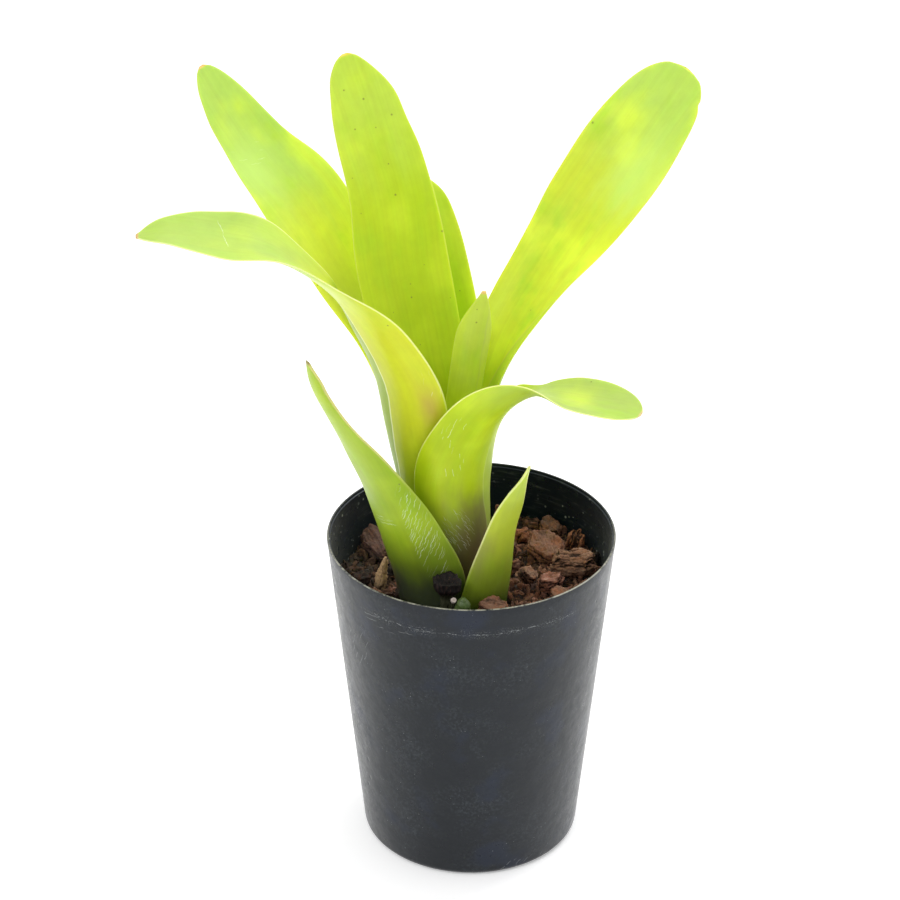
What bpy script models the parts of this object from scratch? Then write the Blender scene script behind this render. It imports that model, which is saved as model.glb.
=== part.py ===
"""Neoregelia bromeliad in its nursery pot.

A young single rosette with nine strap leaves stands in a tapered black plastic pot on a bed of
bark chips. The leaf bases wrap round one another in a tube, each layer inside the next, and rest on
a short basal stem that is sunk in the bark. Sizes in the tables are millimetres, angles are degrees.
The origin is the centre of the pot's flat base and +Z is up. The front of the plant faces -Y.
"""
import bpy
import bmesh
import numpy as np
from math import radians, cos, sin, pi
from mathutils import Matrix, Euler, Vector

MM = 0.001                  # the scene is in metres

# the pot
POT_HEIGHT = 124.4
POT_RIM_RADIUS = 52.5       # outside, at the rim
POT_BASE_RADIUS = 40.0      # outside, where the taper meets the rounded bottom corner
POT_WALL = 1.1
POT_FLOOR = 2.0
POT_CORNER = 3.0            # radius of the bottom corner
POT_STEP_DEPTH = 1.2        # the small step inside, just under the rim
POT_STEP_WIDTH = 0.4
POT_STEP_LEDGE = 0.2         # height of that step's sloping face
POT_FOOT_CHAMFER = 2.0       # inside, round the floor
POT_CORNER_STEPS = 4
POT_SEGMENTS = 80
DRAIN_HOLES = 6
DRAIN_RADIUS = 4.0
DRAIN_CIRCLE = 24.0         # the middle of the base stays whole
DRAIN_SEGMENTS = 20

# the bed of bark
CLEARANCE = 0.3             # between pieces that touch
DUST = 0.002                # edges shorter than this are left over from a cut
SWELL = 0.5                 # how far a clearance copy's corners move out
BED_BACK_LEVEL = 103.5
BED_FRONT_RISE = 8.5        # the bark is heaped higher in front of the plant
HEAP_START = -14.0          # y where the heap begins to rise, and over what length
HEAP_LENGTH = 24.0
BED_RIGHT_RISE = 2.0
RISE_START = 5.0            # x where the rise to the right begins, and over what length
RISE_LENGTH = 30.0
BED_ROUGHNESS = 0.9
BED_WALL_GAP = 0.4
BED_RINGS = 9
BED_SEGMENTS = 40

# the rosette: its axis leans a little, from the basal stem up to the mouth of the tube
AXIS_LOW = (-7.0, -9.0, 100.0)
AXIS_HIGH = (-11.0, -8.0, 157.0)
LEAF_THICKNESS = 0.9
LEAF_ROWS = 25
LEAF_COLUMNS = 7
SPINE_STEPS = 400           # points on a leaf's midrib before its rows are picked
LEAF_CROWDING = 1.15        # above 1 the rows come closer together towards the tip

# Each leaf has two tables. A sheath row wraps round the rosette's axis: height, distance of the
# midrib from the axis, the azimuth it faces, how far round the axis it wraps, and its roll. A blade
# row is free of the axis: x, y, z of the midrib, width, how far the section curls, the azimuth that
# its underside faces, and its roll about the midrib. "tip" is the length over which the outline
# closes and how blunt it is.
LEAVES = {
    "leaf_heart": dict(
        sheath=[(102.8, 3, 268, 150, 0), (115, 4, 270, 155, 0), (135, 5, 274, 155, 0),
                (157, 6.5, 280, 150, 0)],
        blade=[(-4, -14, 178, 15, 135, 278, 0), (-1, -13.5, 198, 15, 120, 280, 0),
               (1.5, -12.5, 214, 13.5, 100, 282, 0), (4, -11, 228, 8, 90, 282, 0)],
        tip=(18, 1.6)),
    "leaf_tall_back": dict(
        sheath=[(101.7, 4.4, 115, 170, 0), (112, 6, 115, 180, 0), (135, 8, 115, 190, 0),
                (157, 9.6, 115, 180, 0)],
        blade=[(-17, 4, 178, 33, 120, 115, 0), (-21, 11, 200, 35, 80, 115, 0),
               (-25.5, 18, 222, 36, 55, 112, 0), (-29, 27, 246, 31.5, 40, 108, 0),
               (-36.5, 36, 270, 26, 30, 105, 0), (-44.5, 44, 293, 17, 25, 105, 0)],
        tip=(22, 2.1)),
    "leaf_right": dict(
        sheath=[(99.6, 6.4, 20, 130, 0), (112, 8.6, 18, 130, 0), (135, 12, 15, 125, 0),
                (157, 14.6, 15, 115, 0)],
        blade=[(5.2, -2.2, 178, 26, 105, 20, 2), (11.7, 3.8, 200, 27, 85, 26, 6),
               (26, 15, 222, 31, 55, 32, 9), (43, 27, 244, 36, 35, 35, 20),
               (59.5, 37, 266, 35.5, 28, 36, 20), (75.5, 45, 287, 26, 22, 36, 18)],
        tip=(20, 2.6)),
    "leaf_left_back": dict(
        sheath=[(97.6, 8, 150, 115, 0), (112, 9.6, 150, 120, 0), (135, 12, 150, 120, 0),
                (157, 14.3, 152, 115, 0)],
        blade=[(-27, 2, 175, 29, 105, 153, 0), (-34, 10.5, 197, 31, 80, 152, -4),
               (-45.5, 19, 220, 33, 50, 147, -10), (-59.5, 29, 242, 35, 30, 143, -12),
               (-78, 38, 262, 26, 25, 140, -10), (-95, 45, 288, 15, 20, 140, -8)],
        tip=(20, 2.1)),
    "leaf_back": dict(
        sheath=[(97, 9.6, 78, 100, 0), (112, 11.4, 78, 105, 0), (135, 14, 78, 100, 0),
                (157, 16.2, 77, 95, 0)],
        blade=[(-7.5, 13, 175, 26, 80, 76, 0), (-8, 24, 197, 25, 60, 76, 0),
               (-12, 36, 218, 23, 45, 78, 0), (-17, 49, 232, 20, 35, 80, 0),
               (-22, 61, 240, 13, 30, 80, 0)],
        tip=(18, 2.0)),
    "leaf_left_arching": dict(
        sheath=[(96.3, 10.2, 240, 115, 0), (112, 12.2, 240, 115, 0), (135, 14.2, 239, 112, 0),
                (157, 15.9, 238, 108, 0)],
        blade=[(-22.5, -21, 175, 32, 100, 237, 0), (-26, -24.5, 197, 33, 85, 233, 0),
               (-36, -26, 218, 33, 75, 225, 0), (-48, -27, 235, 28, 60, 212, -4),
               (-67, -27, 250, 27, 50, 205, -13), (-86, -27, 254.5, 26, 40, 200, -16),
               (-103, -27, 257, 19, 30, 200, -12), (-113, -27, 256, 12, 20, 200, -8)],
        tip=(20, 1.7)),
    "leaf_right_arching": dict(
        sheath=[(95.2, 12, 312, 95, 0), (112, 13.9, 312, 97, 0), (135, 15.9, 311, 104, 0),
                (157, 17.7, 303, 130, 0)],
        blade=[(3.5, -24.5, 177, 41, 120, 312, 0), (11.5, -27.5, 190.5, 38, 105, 320, -7),
               (22, -30, 197.5, 27, 60, 328, -20), (36, -34, 197, 26, 45, 332, -5),
               (50, -38, 196.5, 24, 35, 333, 0), (57.5, -41, 196, 18, 25, 333, 0)],
        tip=(16, 2.2)),
    "leaf_left_outer": dict(
        sheath=[(92.7, 17.5, 226, 105, 0), (107, 19, 228, 112, 0)],
        blade=[(-21.5, -25.5, 122, 40, 108, 234, 0), (-26, -28, 139, 36, 95, 233, 0),
               (-31.8, -30, 156, 30.5, 82, 230, 0), (-38, -32, 170, 24, 75, 227, 0),
               (-45.5, -35, 186, 16, 70, 222, 0), (-52.8, -38, 203, 8.5, 60, 220, 0),
               (-56, -40, 216, 5, 40, 218, 0)],
        tip=(10, 1.6)),
    "leaf_right_outer": dict(
        sheath=[(92, 19.8, 309, 70, 0), (104, 20.8, 309, 70, 0)],
        blade=[(8, -27.5, 120, 23, 75, 308, 0), (11, -28, 138, 16.5, 80, 306, 0),
               (15.2, -29, 154, 11, 75, 304, 0), (20, -30, 169.5, 4, 60, 304, 0)],
        tip=(12, 1.5)),
}
LEAF_POINT = 1.5            # narrowest width left at a tip

# the basal stem: radius and height down its outside; a leaf base stands on each small shoulder
STEM_PROFILE = [(0, 102.4), (3.6, 102.2), (4.2, 100.4), (5.2, 100.2), (5.8, 98.4), (7.4, 97.2),
                (9.2, 96.2), (10.8, 95.0), (12.8, 94.0), (16.2, 92.2), (18.8, 91.6), (20.8, 90.4),
                (19.0, 88.0), (11.0, 85.6), (0, 85.4)]
STEM_SEGMENTS = 28
STEM_AXIS_HEIGHT = 96.5     # the stem stands upright under the rosette's axis at this height

# the hole in the bark for the plant: azimuth and radius round the rosette's axis
WELL_OUTLINE = [(0, 16), (20, 14.2), (50, 13), (80, 13), (110, 13), (135, 13.5), (158, 16),
                (172, 20.5), (200, 20.8), (225, 20.8), (252, 20.8), (268, 22.2), (290, 22.8),
                (310, 22.8), (335, 22.8), (350, 21)]
WELL_BOTTOM = 85.1
WELL_STEM_RADIUS = 22.2     # round the widest part of the basal stem
WELL_STEM_TOP = 95.2
WELL_LEDGE = 0.4            # height of the step where the hole narrows round the leaf bases
WELL_TOP = 130.0
WELL_TOP_SPREAD = 5.5       # how much wider the hole is at its top

# the cut stub of an old offset, the bud beside it and the perlite grain: rows are (x, y, z, radius)
STUB_ROUTE = [(-8.0, -34.8, 98, 4.0), (-8.6, -35.2, 112, 4.3), (-8.8, -36.0, 127.4, 4.8)]
BUD_ROUTE = [(-3.0, -39.5, 104, 2.2), (-2.8, -40.5, 113, 3.2), (-2.6, -41.2, 119, 2.5),
             (-2.6, -41.6, 121.4, 0.9)]
GRAIN_CENTRE = (-6.1, -41.2, 120.4)
GRAIN_RADIUS = 1.1

# Bark chips, the most exposed first; a later chip is trimmed to clear the ones before it.
# Each row: name, centre x, y, z, length, width, thickness, yaw, pitch, roll, bend, shape number.
# Bend is how much the chip's two ends lift above its middle.
CHIPS = [
    ("flat", 27.5, 16.0, 109.0, 17, 18, 5.5, 10, 4, 22, 0.5, 11),
    ("ridged", 37.6, 0.5, 111.5, 21, 12, 8, 12, 5, 10, 0.0, 22),
    ("cup", 19.5, -7.0, 110.5, 12, 8.5, 5, 65, 20, 48, 2.2, 33),
    ("pale", 28.8, -9.5, 109.5, 11, 9, 6, 20, -12, 15, 0.6, 44),
    ("orange", 39.0, 21.5, 108.5, 8.5, 8, 7, 40, 10, 12, 0.0, 55),
    ("arch_back", 30.6, 33.2, 106.8, 13, 9, 4.5, -35, 0, 25, 3.0, 66),
    ("grooved", 7.4, -36.0, 115.6, 12, 10, 5, -12, 6, 24, 0.3, 77),
    ("rim_slim", 22.5, -37.0, 114.6, 20, 5.5, 4.5, 32, -4, 8, -1.2, 88),
    ("left_big", -34.2, 20.5, 107.0, 19, 15, 7, -55, 6, 20, 0.8, 99),
    ("tan_sliver", -33.6, -3.5, 108.6, 15, 4.5, 2.6, 84, -66, 60, 0.3, 12),
    ("curl_left", -40.5, -3.5, 106.4, 9, 7, 4.5, 30, 0, 10, 1.8, 23),
    ("curl_low", -35.0, -14.5, 106.6, 8, 6, 4, -50, 8, 0, 1.4, 34),
    ("behind_tube", 13.5, 41.5, 108.4, 11, 6.5, 8, -15, 0, 30, 0.6, 45),
    ("bit_red", 19.5, 27.5, 106.8, 8, 6.5, 5, 60, 12, 0, 0.4, 56),
    ("bit_brown", 14.0, 18.0, 107.0, 9, 7, 5, 25, -8, 14, 0.3, 67),
    ("mid_low", 33.0, -20.5, 108.6, 13, 10, 6, -30, 6, 5, 0.6, 78),
    ("wall_right", 45.0, 11.5, 107.0, 10, 5.5, 6, 75, 0, 0, -0.6, 89),
    ("wall_front_right", 41.0, -16.0, 110.0, 12, 6, 5.5, 62, 5, 0, -0.8, 13),
    ("front_mid", 14.6, -42.6, 113.8, 10, 5.5, 4.5, 14, 0, 6, -0.4, 24),
    ("front_left", -16.5, -40.0, 113.6, 13, 8, 5, -18, 5, 8, -0.6, 35),
    ("front_far_left", -29.5, -29.5, 110.2, 12, 9, 5.5, -48, -6, 6, 0.3, 46),
    ("left_low", -43.5, -14.5, 106.4, 9, 6, 5, -70, 0, 8, -0.4, 57),
    ("left_wall", -46.5, 3.5, 106.4, 11, 4.5, 5, 92, 0, 0, -0.4, 68),
    ("back_left", -24.5, 35.5, 106.2, 15, 11, 6, 28, -5, 8, 0.7, 79),
    ("back_mid", -8.0, 40.5, 106.0, 14, 10, 6, -8, 4, 10, 0.5, 91),
    ("back_inner", 1.5, 27.5, 106.2, 13, 10, 6, 40, 6, -5, 0.4, 14),
    ("inner_left", -20.5, 19.5, 106.0, 12, 9, 5.5, -30, -6, 0, 0.5, 25),
    ("right_inner", 14.5, 6.0, 107.2, 9, 7, 6, 70, 5, 8, 0.3, 36),
    ("back_right", 23.6, 38.6, 105.4, 8, 5.5, 5, -28, 0, 5, -0.4, 47),
    ("under_tan", -29.0, 7.0, 106.0, 9, 7, 5, 10, 8, 4, 0.3, 58),
    ("front_bud", 0.8, -45.0, 114.6, 8, 4.5, 4.5, 0, 0, 5, -0.3, 69),
]
CHIP_SIDES = 9
CHIP_RAGGEDNESS = 0.16
CHIP_OUTLINES = ((-0.5, 0.80), (0.05, 1.0), (0.5, 0.74))     # level in the thickness, and spread

# colours (linear), roughness and metallic of each material
MATERIALS = {
    "leaf": ((0.36, 0.56, 0.03), 0.35, 0.0),
    "stem": ((0.24, 0.15, 0.07), 0.8, 0.0),
    "stub": ((0.012, 0.008, 0.006), 0.8, 0.0),
    "bud": ((0.10, 0.20, 0.05), 0.5, 0.0),
    "grain": ((0.75, 0.73, 0.68), 0.7, 0.0),
    "bark": ((0.17, 0.065, 0.035), 0.9, 0.0),
    "tan_bark": ((0.42, 0.23, 0.10), 0.85, 0.0),
    "bed": ((0.05, 0.025, 0.016), 0.95, 0.0),
    "pot_plastic": ((0.035, 0.04, 0.045), 0.4, 0.0),
}


def clear_scene():
    for item in list(bpy.data.objects):
        bpy.data.objects.remove(item, do_unlink=True)


def make_collection(name, hidden=False):
    collection = bpy.data.collections.new(name)
    bpy.context.scene.collection.children.link(collection)
    collection.hide_render = hidden
    return collection


def make_material(name):
    colour, roughness, metallic = MATERIALS[name]
    material = bpy.data.materials.new(name)
    material.use_nodes = True
    shader = material.node_tree.nodes["Principled BSDF"]
    shader.inputs["Base Color"].default_value = (*colour, 1.0)
    shader.inputs["Roughness"].default_value = roughness
    shader.inputs["Metallic"].default_value = metallic
    material.diffuse_color = (*colour, 1.0)
    return material


def new_object(name, vertices, faces, collection, material=None):
    """An object from millimetre vertices; faces are turned to look outward."""
    mesh = bpy.data.meshes.new(name)
    mesh.from_pydata([Vector(v) * MM for v in vertices], [], faces)
    work = bmesh.new()
    work.from_mesh(mesh)
    bmesh.ops.recalc_face_normals(work, faces=work.faces)
    work.to_mesh(mesh)
    work.free()
    item = bpy.data.objects.new(name, mesh)
    collection.objects.link(item)
    if material:
        mesh.materials.append(material)
    if collection is CUTTERS:
        item.display_type = "WIRE"
    return item


def move_to(item, collection):
    for home in list(item.users_collection):
        home.objects.unlink(item)
    collection.objects.link(item)


def add_boolean(item, cutter):
    modifier = item.modifiers.new("cut_" + cutter.name, "BOOLEAN")
    modifier.operation = "DIFFERENCE"
    modifier.solver = "EXACT"
    modifier.object = cutter


def apply_modifiers(item):
    """Bake the modifiers, then keep only the largest piece if a cut has split the mesh."""
    graph = bpy.context.evaluated_depsgraph_get()
    mesh = bpy.data.meshes.new_from_object(item.evaluated_get(graph))
    item.modifiers.clear()
    item.data = mesh
    work = bmesh.new()
    work.from_mesh(mesh)
    bmesh.ops.dissolve_degenerate(work, edges=work.edges, dist=DUST * MM)
    unseen = set(work.verts)
    islands = []
    while unseen:
        island, edge_of_island = set(), [unseen.pop()]
        while edge_of_island:
            vertex = edge_of_island.pop()
            island.add(vertex)
            for edge in vertex.link_edges:
                other = edge.other_vert(vertex)
                if other in unseen:
                    unseen.discard(other)
                    edge_of_island.append(other)
        islands.append(island)
    largest = max(islands, key=len)
    extra = [v for island in islands if island is not largest for v in island]
    bmesh.ops.delete(work, geom=extra, context="VERTS")
    work.to_mesh(mesh)
    work.free()


def turned(name, profile, segments, collection, material=None, centre=(0, 0)):
    """A turned solid: the profile lies at +X and runs down its outer side from top to bottom."""
    mesh = bpy.data.meshes.new(name)
    points = [(r * MM, 0, z * MM) for r, z in profile]
    edges = [(i, i + 1) for i in range(len(points) - 1)]
    mesh.from_pydata(points, edges, [])
    item = bpy.data.objects.new(name, mesh)
    collection.objects.link(item)
    screw = item.modifiers.new("turn", "SCREW")
    screw.steps = screw.render_steps = segments
    screw.use_merge_vertices = True
    screw.merge_threshold = 0.00005
    item.location = (centre[0] * MM, centre[1] * MM, 0)
    if material:
        mesh.materials.append(material)
    return item


def loft(name, sections, collection, material=None):
    """A closed solid through a list of rings that all have the same number of points."""
    count = len(sections[0])
    vertices = [point for ring in sections for point in ring]
    faces = []
    for row in range(len(sections) - 1):
        for i in range(count):
            j = (i + 1) % count
            a, b = row * count, (row + 1) * count
            faces += [(a + i, a + j, b + j), (a + i, b + j, b + i)]
    for ring, start in ((sections[0], 0), (sections[-1], (len(sections) - 1) * count)):
        middle = len(vertices)
        vertices.append(Vector([sum(point[k] for point in ring) / count for k in range(3)]))
        faces += [(start + i, start + (i + 1) % count, middle) for i in range(count)]
    return new_object(name, vertices, faces, collection, material)


# leaves

def axis_at(height):
    f = (height - AXIS_LOW[2]) / (AXIS_HIGH[2] - AXIS_LOW[2])
    return (AXIS_LOW[0] + f * (AXIS_HIGH[0] - AXIS_LOW[0]),
            AXIS_LOW[1] + f * (AXIS_HIGH[1] - AXIS_LOW[1]))


def smooth_rows(rows, count):
    """Points spread along a smooth curve that passes through every row."""
    rows = np.asarray(rows, float)
    ends = np.vstack([2 * rows[0] - rows[1], rows, 2 * rows[-1] - rows[-2]])
    spans = len(rows) - 1
    result = []
    for t in np.linspace(0, spans, count):
        i = min(int(t), spans - 1)
        f = t - i
        a, b, c, d = ends[i:i + 4]
        result.append(0.5 * (2 * b + (c - a) * f + (2 * a - 5 * b + 4 * c - d) * f**2
                             + (3 * b - a - 3 * c + d) * f**3))
    return np.array(result)


def leaf_grid(leaf, rows, columns):
    """The leaf's middle surface as a grid of points, from its base to its tip."""
    table = []
    for height, distance, azimuth, wrap, roll in leaf["sheath"]:
        x, y = axis_at(height)
        turn = radians(azimuth)
        table.append((x + distance * cos(turn), y + distance * sin(turn), height,
                      distance * radians(wrap), wrap, azimuth, roll))
    fine = smooth_rows(table + list(leaf["blade"]), SPINE_STEPS)
    steps = np.linalg.norm(np.diff(fine[:, :3], axis=0), axis=1)
    travelled = np.concatenate([[0], np.cumsum(steps)])
    length = travelled[-1]
    along = length * (1 - (1 - np.linspace(0, 1, rows)) ** LEAF_CROWDING)

    def sample(values):
        return np.stack([np.interp(along, travelled, values[:, k])
                         for k in range(values.shape[1])], 1)

    row = sample(fine)
    forward = sample(np.gradient(fine[:, :3], travelled, axis=0))
    forward /= np.linalg.norm(forward, axis=1)[:, None]
    facing = np.radians(row[:, 5])
    level = np.stack([-np.sin(facing), np.cos(facing), 0 * facing], 1)
    across = level - (forward * level).sum(1)[:, None] * forward
    across /= np.linalg.norm(across, axis=1)[:, None]
    inward = np.cross(forward, across)
    roll = np.radians(row[:, 6])[:, None]
    across, inward = (np.cos(roll) * across + np.sin(roll) * inward,
                      np.cos(roll) * inward - np.sin(roll) * across)

    tip_length, bluntness = leaf["tip"]
    closing = np.clip(1 - (length - along) / tip_length, 0, 1)
    outline = np.maximum(1 - closing ** bluntness, 0) ** (1 / bluntness)
    width = np.maximum(row[:, 3] * outline, LEAF_POINT)
    bend_radius = row[:, 3] / np.radians(row[:, 4])
    angle = np.linspace(-0.5, 0.5, columns)[None, :] * (width / bend_radius)[:, None]
    radius = bend_radius[:, None]
    return (row[:, None, :3] + across[:, None, :] * (radius * np.sin(angle))[..., None]
            + inward[:, None, :] * (radius * (1 - np.cos(angle)))[..., None])


def make_leaf(name, leaf, material):
    grid = leaf_grid(leaf, LEAF_ROWS, LEAF_COLUMNS)
    vertices = grid.reshape(-1, 3).tolist()
    faces = []
    for i in range(LEAF_ROWS - 1):
        for j in range(LEAF_COLUMNS - 1):
            a = i * LEAF_COLUMNS + j
            faces.append((a, a + 1, a + 1 + LEAF_COLUMNS, a + LEAF_COLUMNS))
    item = new_object(name, vertices, faces, PART, material)
    skin = item.modifiers.new("thickness", "SOLIDIFY")
    skin.thickness = LEAF_THICKNESS * MM
    skin.offset = 0
    return item


# the stub and the bud

def clearance_copy(item):
    """A cutter with the same shape as a piece, swollen by the gap that neighbours keep from it."""
    swollen = bpy.data.objects.new("clearance_" + item.name, item.data.copy())
    swollen.data.materials.clear()
    swollen.display_type = "WIRE"
    CUTTERS.objects.link(swollen)
    swell = swollen.modifiers.new("gap", "DISPLACE")
    swell.strength = SWELL * MM
    swell.mid_level = 0
    return swollen


def make_tube(name, route, sides, material):
    """A rough round stick through (x, y, z, radius) rows, each section lying level."""
    sections = []
    for x, y, z, radius in route:
        ring = []
        for i in range(sides):
            angle = 2 * pi * i / sides
            r = radius * (1 + 0.06 * sin(3 * angle + x) + 0.04 * cos(5 * angle))
            ring.append((x + r * cos(angle), y + r * sin(angle), z))
        sections.append(ring)
    return loft(name, sections, PART, material)


# bark

def chip_matrix(row):
    _, x, y, z, _, _, _, yaw, pitch, roll, _, _ = row
    turn = Euler((radians(roll), radians(pitch), radians(yaw))).to_matrix().to_4x4()
    return Matrix.Translation((x, y, z)) @ turn


def make_chip(row, material):
    """A broken flake of bark: three unlike ragged outlines, one above another, and two caps."""
    name, length, width, thick, bend, shape = row[0], *row[4:7], row[10], row[11]
    dice = np.random.RandomState(shape)
    radii = 1 + CHIP_RAGGEDNESS * dice.uniform(-1, 1, CHIP_SIDES)
    angles = 2 * pi * (np.arange(CHIP_SIDES) + dice.uniform(-0.28, 0.28, CHIP_SIDES)) / CHIP_SIDES
    place = chip_matrix(row)
    sections = []
    for level, spread in CHIP_OUTLINES:
        ring = []
        jitter = dice.uniform(-1, 1, (CHIP_SIDES, 2))
        for i in range(CHIP_SIDES):
            r = radii[i] * spread * (1 + 0.07 * jitter[i, 0])
            x = length / 2 * r * cos(angles[i])
            y = width / 2 * r * sin(angles[i])
            z = thick * (level + 0.10 * jitter[i, 1])
            z += bend * (2 * x / length) ** 2
            ring.append(place @ Vector((x, y, z)))
        sections.append(ring)
    return loft("bark_chip_" + name, sections, PART, material)


def bed_height(x, y):
    """Level of the fine bark between the chips: it rises from HEAP_START to the front wall."""
    front = min(max((HEAP_START - y) / HEAP_LENGTH, 0), 1)
    right = min(max((x - RISE_START) / RISE_LENGTH, 0), 1)
    ripple = sin(0.31 * x + 0.7) * cos(0.27 * y) + 0.6 * sin(0.53 * x + 0.45 * y + 2)
    return (BED_BACK_LEVEL + BED_FRONT_RISE * front * front * (3 - 2 * front)
            + BED_RIGHT_RISE * right + BED_ROUGHNESS * ripple)


def wall_radius(height):
    """Outside radius of the pot's wall at a height."""
    return POT_BASE_RADIUS + (POT_RIM_RADIUS - POT_BASE_RADIUS) * height / POT_HEIGHT


def make_bed(material):
    """A turned plug that fills the pot; its top is then lifted to the level of the bark."""
    low = POT_FLOOR + CLEARANCE
    shoulder = low + POT_CORNER
    inset = POT_WALL + BED_WALL_GAP
    edge = wall_radius(BED_BACK_LEVEL) - inset
    profile = [(edge * ring / BED_RINGS, BED_BACK_LEVEL) for ring in range(BED_RINGS + 1)]
    profile.append((wall_radius(shoulder) - inset, shoulder))
    profile.append((wall_radius(low) - inset - POT_CORNER, low))
    profile.append((0, low))
    plug = turned("bark_bed", profile, BED_SEGMENTS, PART, material)
    apply_modifiers(plug)
    for vertex in plug.data.vertices:
        x, y, z = vertex.co / MM
        if z < shoulder + 1:
            continue
        z = bed_height(x, y)
        at_wall = np.hypot(x, y) > edge - 1
        grow = (wall_radius(z) - inset) / edge if at_wall else 1
        vertex.co = Vector((x * grow, y * grow, z)) * MM
    return plug


def make_well():
    """The cutter for the hole that the plant's base stands in."""
    sections = []
    for z in (WELL_BOTTOM, WELL_STEM_TOP):
        sections.append([(STEM_CENTRE[0] + WELL_STEM_RADIUS * cos(radians(a)),
                          STEM_CENTRE[1] + WELL_STEM_RADIUS * sin(radians(a)), z)
                         for a, _ in WELL_OUTLINE])
    for z, spread in ((WELL_STEM_TOP + WELL_LEDGE, 0.0), (WELL_TOP, WELL_TOP_SPREAD)):
        x, y = axis_at(z)
        sections.append([(x + (r + spread) * cos(radians(a)), y + (r + spread) * sin(radians(a)), z)
                         for a, r in WELL_OUTLINE])
    return loft("well", sections, CUTTERS)


# pot

def make_pot(material):
    inside = POT_RIM_RADIUS - POT_WALL
    slope = (POT_RIM_RADIUS - POT_BASE_RADIUS) / POT_HEIGHT
    profile = [(inside + POT_STEP_WIDTH, POT_HEIGHT), (POT_RIM_RADIUS, POT_HEIGHT)]
    for step in range(POT_CORNER_STEPS + 1):
        angle = radians(90 * step / POT_CORNER_STEPS)
        radius = wall_radius(POT_CORNER) - POT_CORNER * (1 - cos(angle))
        profile.append((radius, POT_CORNER * (1 - sin(angle))))
    profile.append((0, 0))
    profile.append((0, POT_FLOOR))
    inner_foot = wall_radius(POT_FLOOR + POT_FOOT_CHAMFER) - POT_WALL
    profile.append((inner_foot - POT_FOOT_CHAMFER, POT_FLOOR))
    profile.append((inner_foot, POT_FLOOR + POT_FOOT_CHAMFER))
    step_height = POT_HEIGHT - POT_STEP_DEPTH
    profile.append((inside - slope * POT_STEP_DEPTH, step_height))
    profile.append((inside + POT_STEP_WIDTH - slope * POT_STEP_DEPTH, step_height + POT_STEP_LEDGE))
    profile.append(profile[0])
    pot = turned("pot", profile, POT_SEGMENTS, PART, material)
    apply_modifiers(pot)
    for i in range(DRAIN_HOLES):
        angle = 2 * pi * (i + 0.5) / DRAIN_HOLES
        x, y = DRAIN_CIRCLE * cos(angle), DRAIN_CIRCLE * sin(angle)
        bpy.ops.mesh.primitive_cylinder_add(
            vertices=DRAIN_SEGMENTS, radius=DRAIN_RADIUS * MM, depth=3 * POT_FLOOR * MM,
            location=(x * MM, y * MM, POT_FLOOR / 2 * MM))
        drain = bpy.context.object
        drain.name = drain.data.name = "drain_%d" % (i + 1)
        drain.display_type = "WIRE"
        move_to(drain, CUTTERS)
        add_boolean(pot, drain)
    apply_modifiers(pot)
    return pot


clear_scene()
PART = make_collection("neoregelia_in_pot")
CUTTERS = make_collection("cutters", hidden=True)
PAINT = {name: make_material(name) for name in MATERIALS}

make_pot(PAINT["pot_plastic"])

for leaf_name, leaf in LEAVES.items():
    make_leaf(leaf_name, leaf, PAINT["leaf"])

STEM_CENTRE = axis_at(STEM_AXIS_HEIGHT)
turned("basal_stem", STEM_PROFILE, STEM_SEGMENTS, PART, PAINT["stem"], STEM_CENTRE)
stub = make_tube("cut_stub", STUB_ROUTE, 9, PAINT["stub"])
bud = make_tube("offset_bud", BUD_ROUTE, 10, PAINT["bud"])
bpy.ops.mesh.primitive_ico_sphere_add(subdivisions=2, radius=GRAIN_RADIUS * MM,
                                      location=[v * MM for v in GRAIN_CENTRE])
grain = bpy.context.object
grain.name = grain.data.name = "perlite_grain"
move_to(grain, PART)
grain.data.materials.append(PAINT["grain"])

well = make_well()
clearances = [clearance_copy(stub), clearance_copy(bud)]
for chip_row in CHIPS:
    paint = PAINT["tan_bark"] if chip_row[0] == "tan_sliver" else PAINT["bark"]
    chip = make_chip(chip_row, paint)
    whole = clearance_copy(chip)
    add_boolean(chip, well)
    for cutter in clearances:
        add_boolean(chip, cutter)
    apply_modifiers(chip)
    clearances.append(whole)

bed = make_bed(PAINT["bed"])
add_boolean(bed, well)
for cutter in clearances:
    add_boolean(bed, cutter)
apply_modifiers(bed)
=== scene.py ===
# %% [markdown]
# # A neoregelia in its nursery pot
#
# This notebook dresses a potted bromeliad. The solids, their sizes and their places are already
# fixed: they are loaded as a frame, in metres, with the centre of the pot's flat base at the origin
# and the front of the plant towards -Y. Every visible piece below is made again at a finer scale
# inside the space that its solid holds, and gets a procedural material.

# %% Load the frame
from math import cos, pi, radians, sin
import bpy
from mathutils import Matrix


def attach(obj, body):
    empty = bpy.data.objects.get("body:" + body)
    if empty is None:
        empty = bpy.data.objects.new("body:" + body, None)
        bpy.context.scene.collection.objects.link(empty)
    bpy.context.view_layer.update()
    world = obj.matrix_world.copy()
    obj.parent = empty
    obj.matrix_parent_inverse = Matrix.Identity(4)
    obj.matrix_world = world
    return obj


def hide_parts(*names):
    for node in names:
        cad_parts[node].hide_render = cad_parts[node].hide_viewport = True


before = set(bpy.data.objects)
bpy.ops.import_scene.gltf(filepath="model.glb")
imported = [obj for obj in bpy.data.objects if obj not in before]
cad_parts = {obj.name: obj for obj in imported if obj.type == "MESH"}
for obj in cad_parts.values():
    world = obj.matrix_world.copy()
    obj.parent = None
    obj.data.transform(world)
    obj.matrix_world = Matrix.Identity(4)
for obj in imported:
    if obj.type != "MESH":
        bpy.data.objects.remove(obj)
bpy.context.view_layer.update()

from types import SimpleNamespace

import bmesh
import bpy
import numpy as np
from mathutils import Vector, noise

MM = 0.001                  # the tables hold millimetres
print("solids in the frame:", len(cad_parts))

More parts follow.
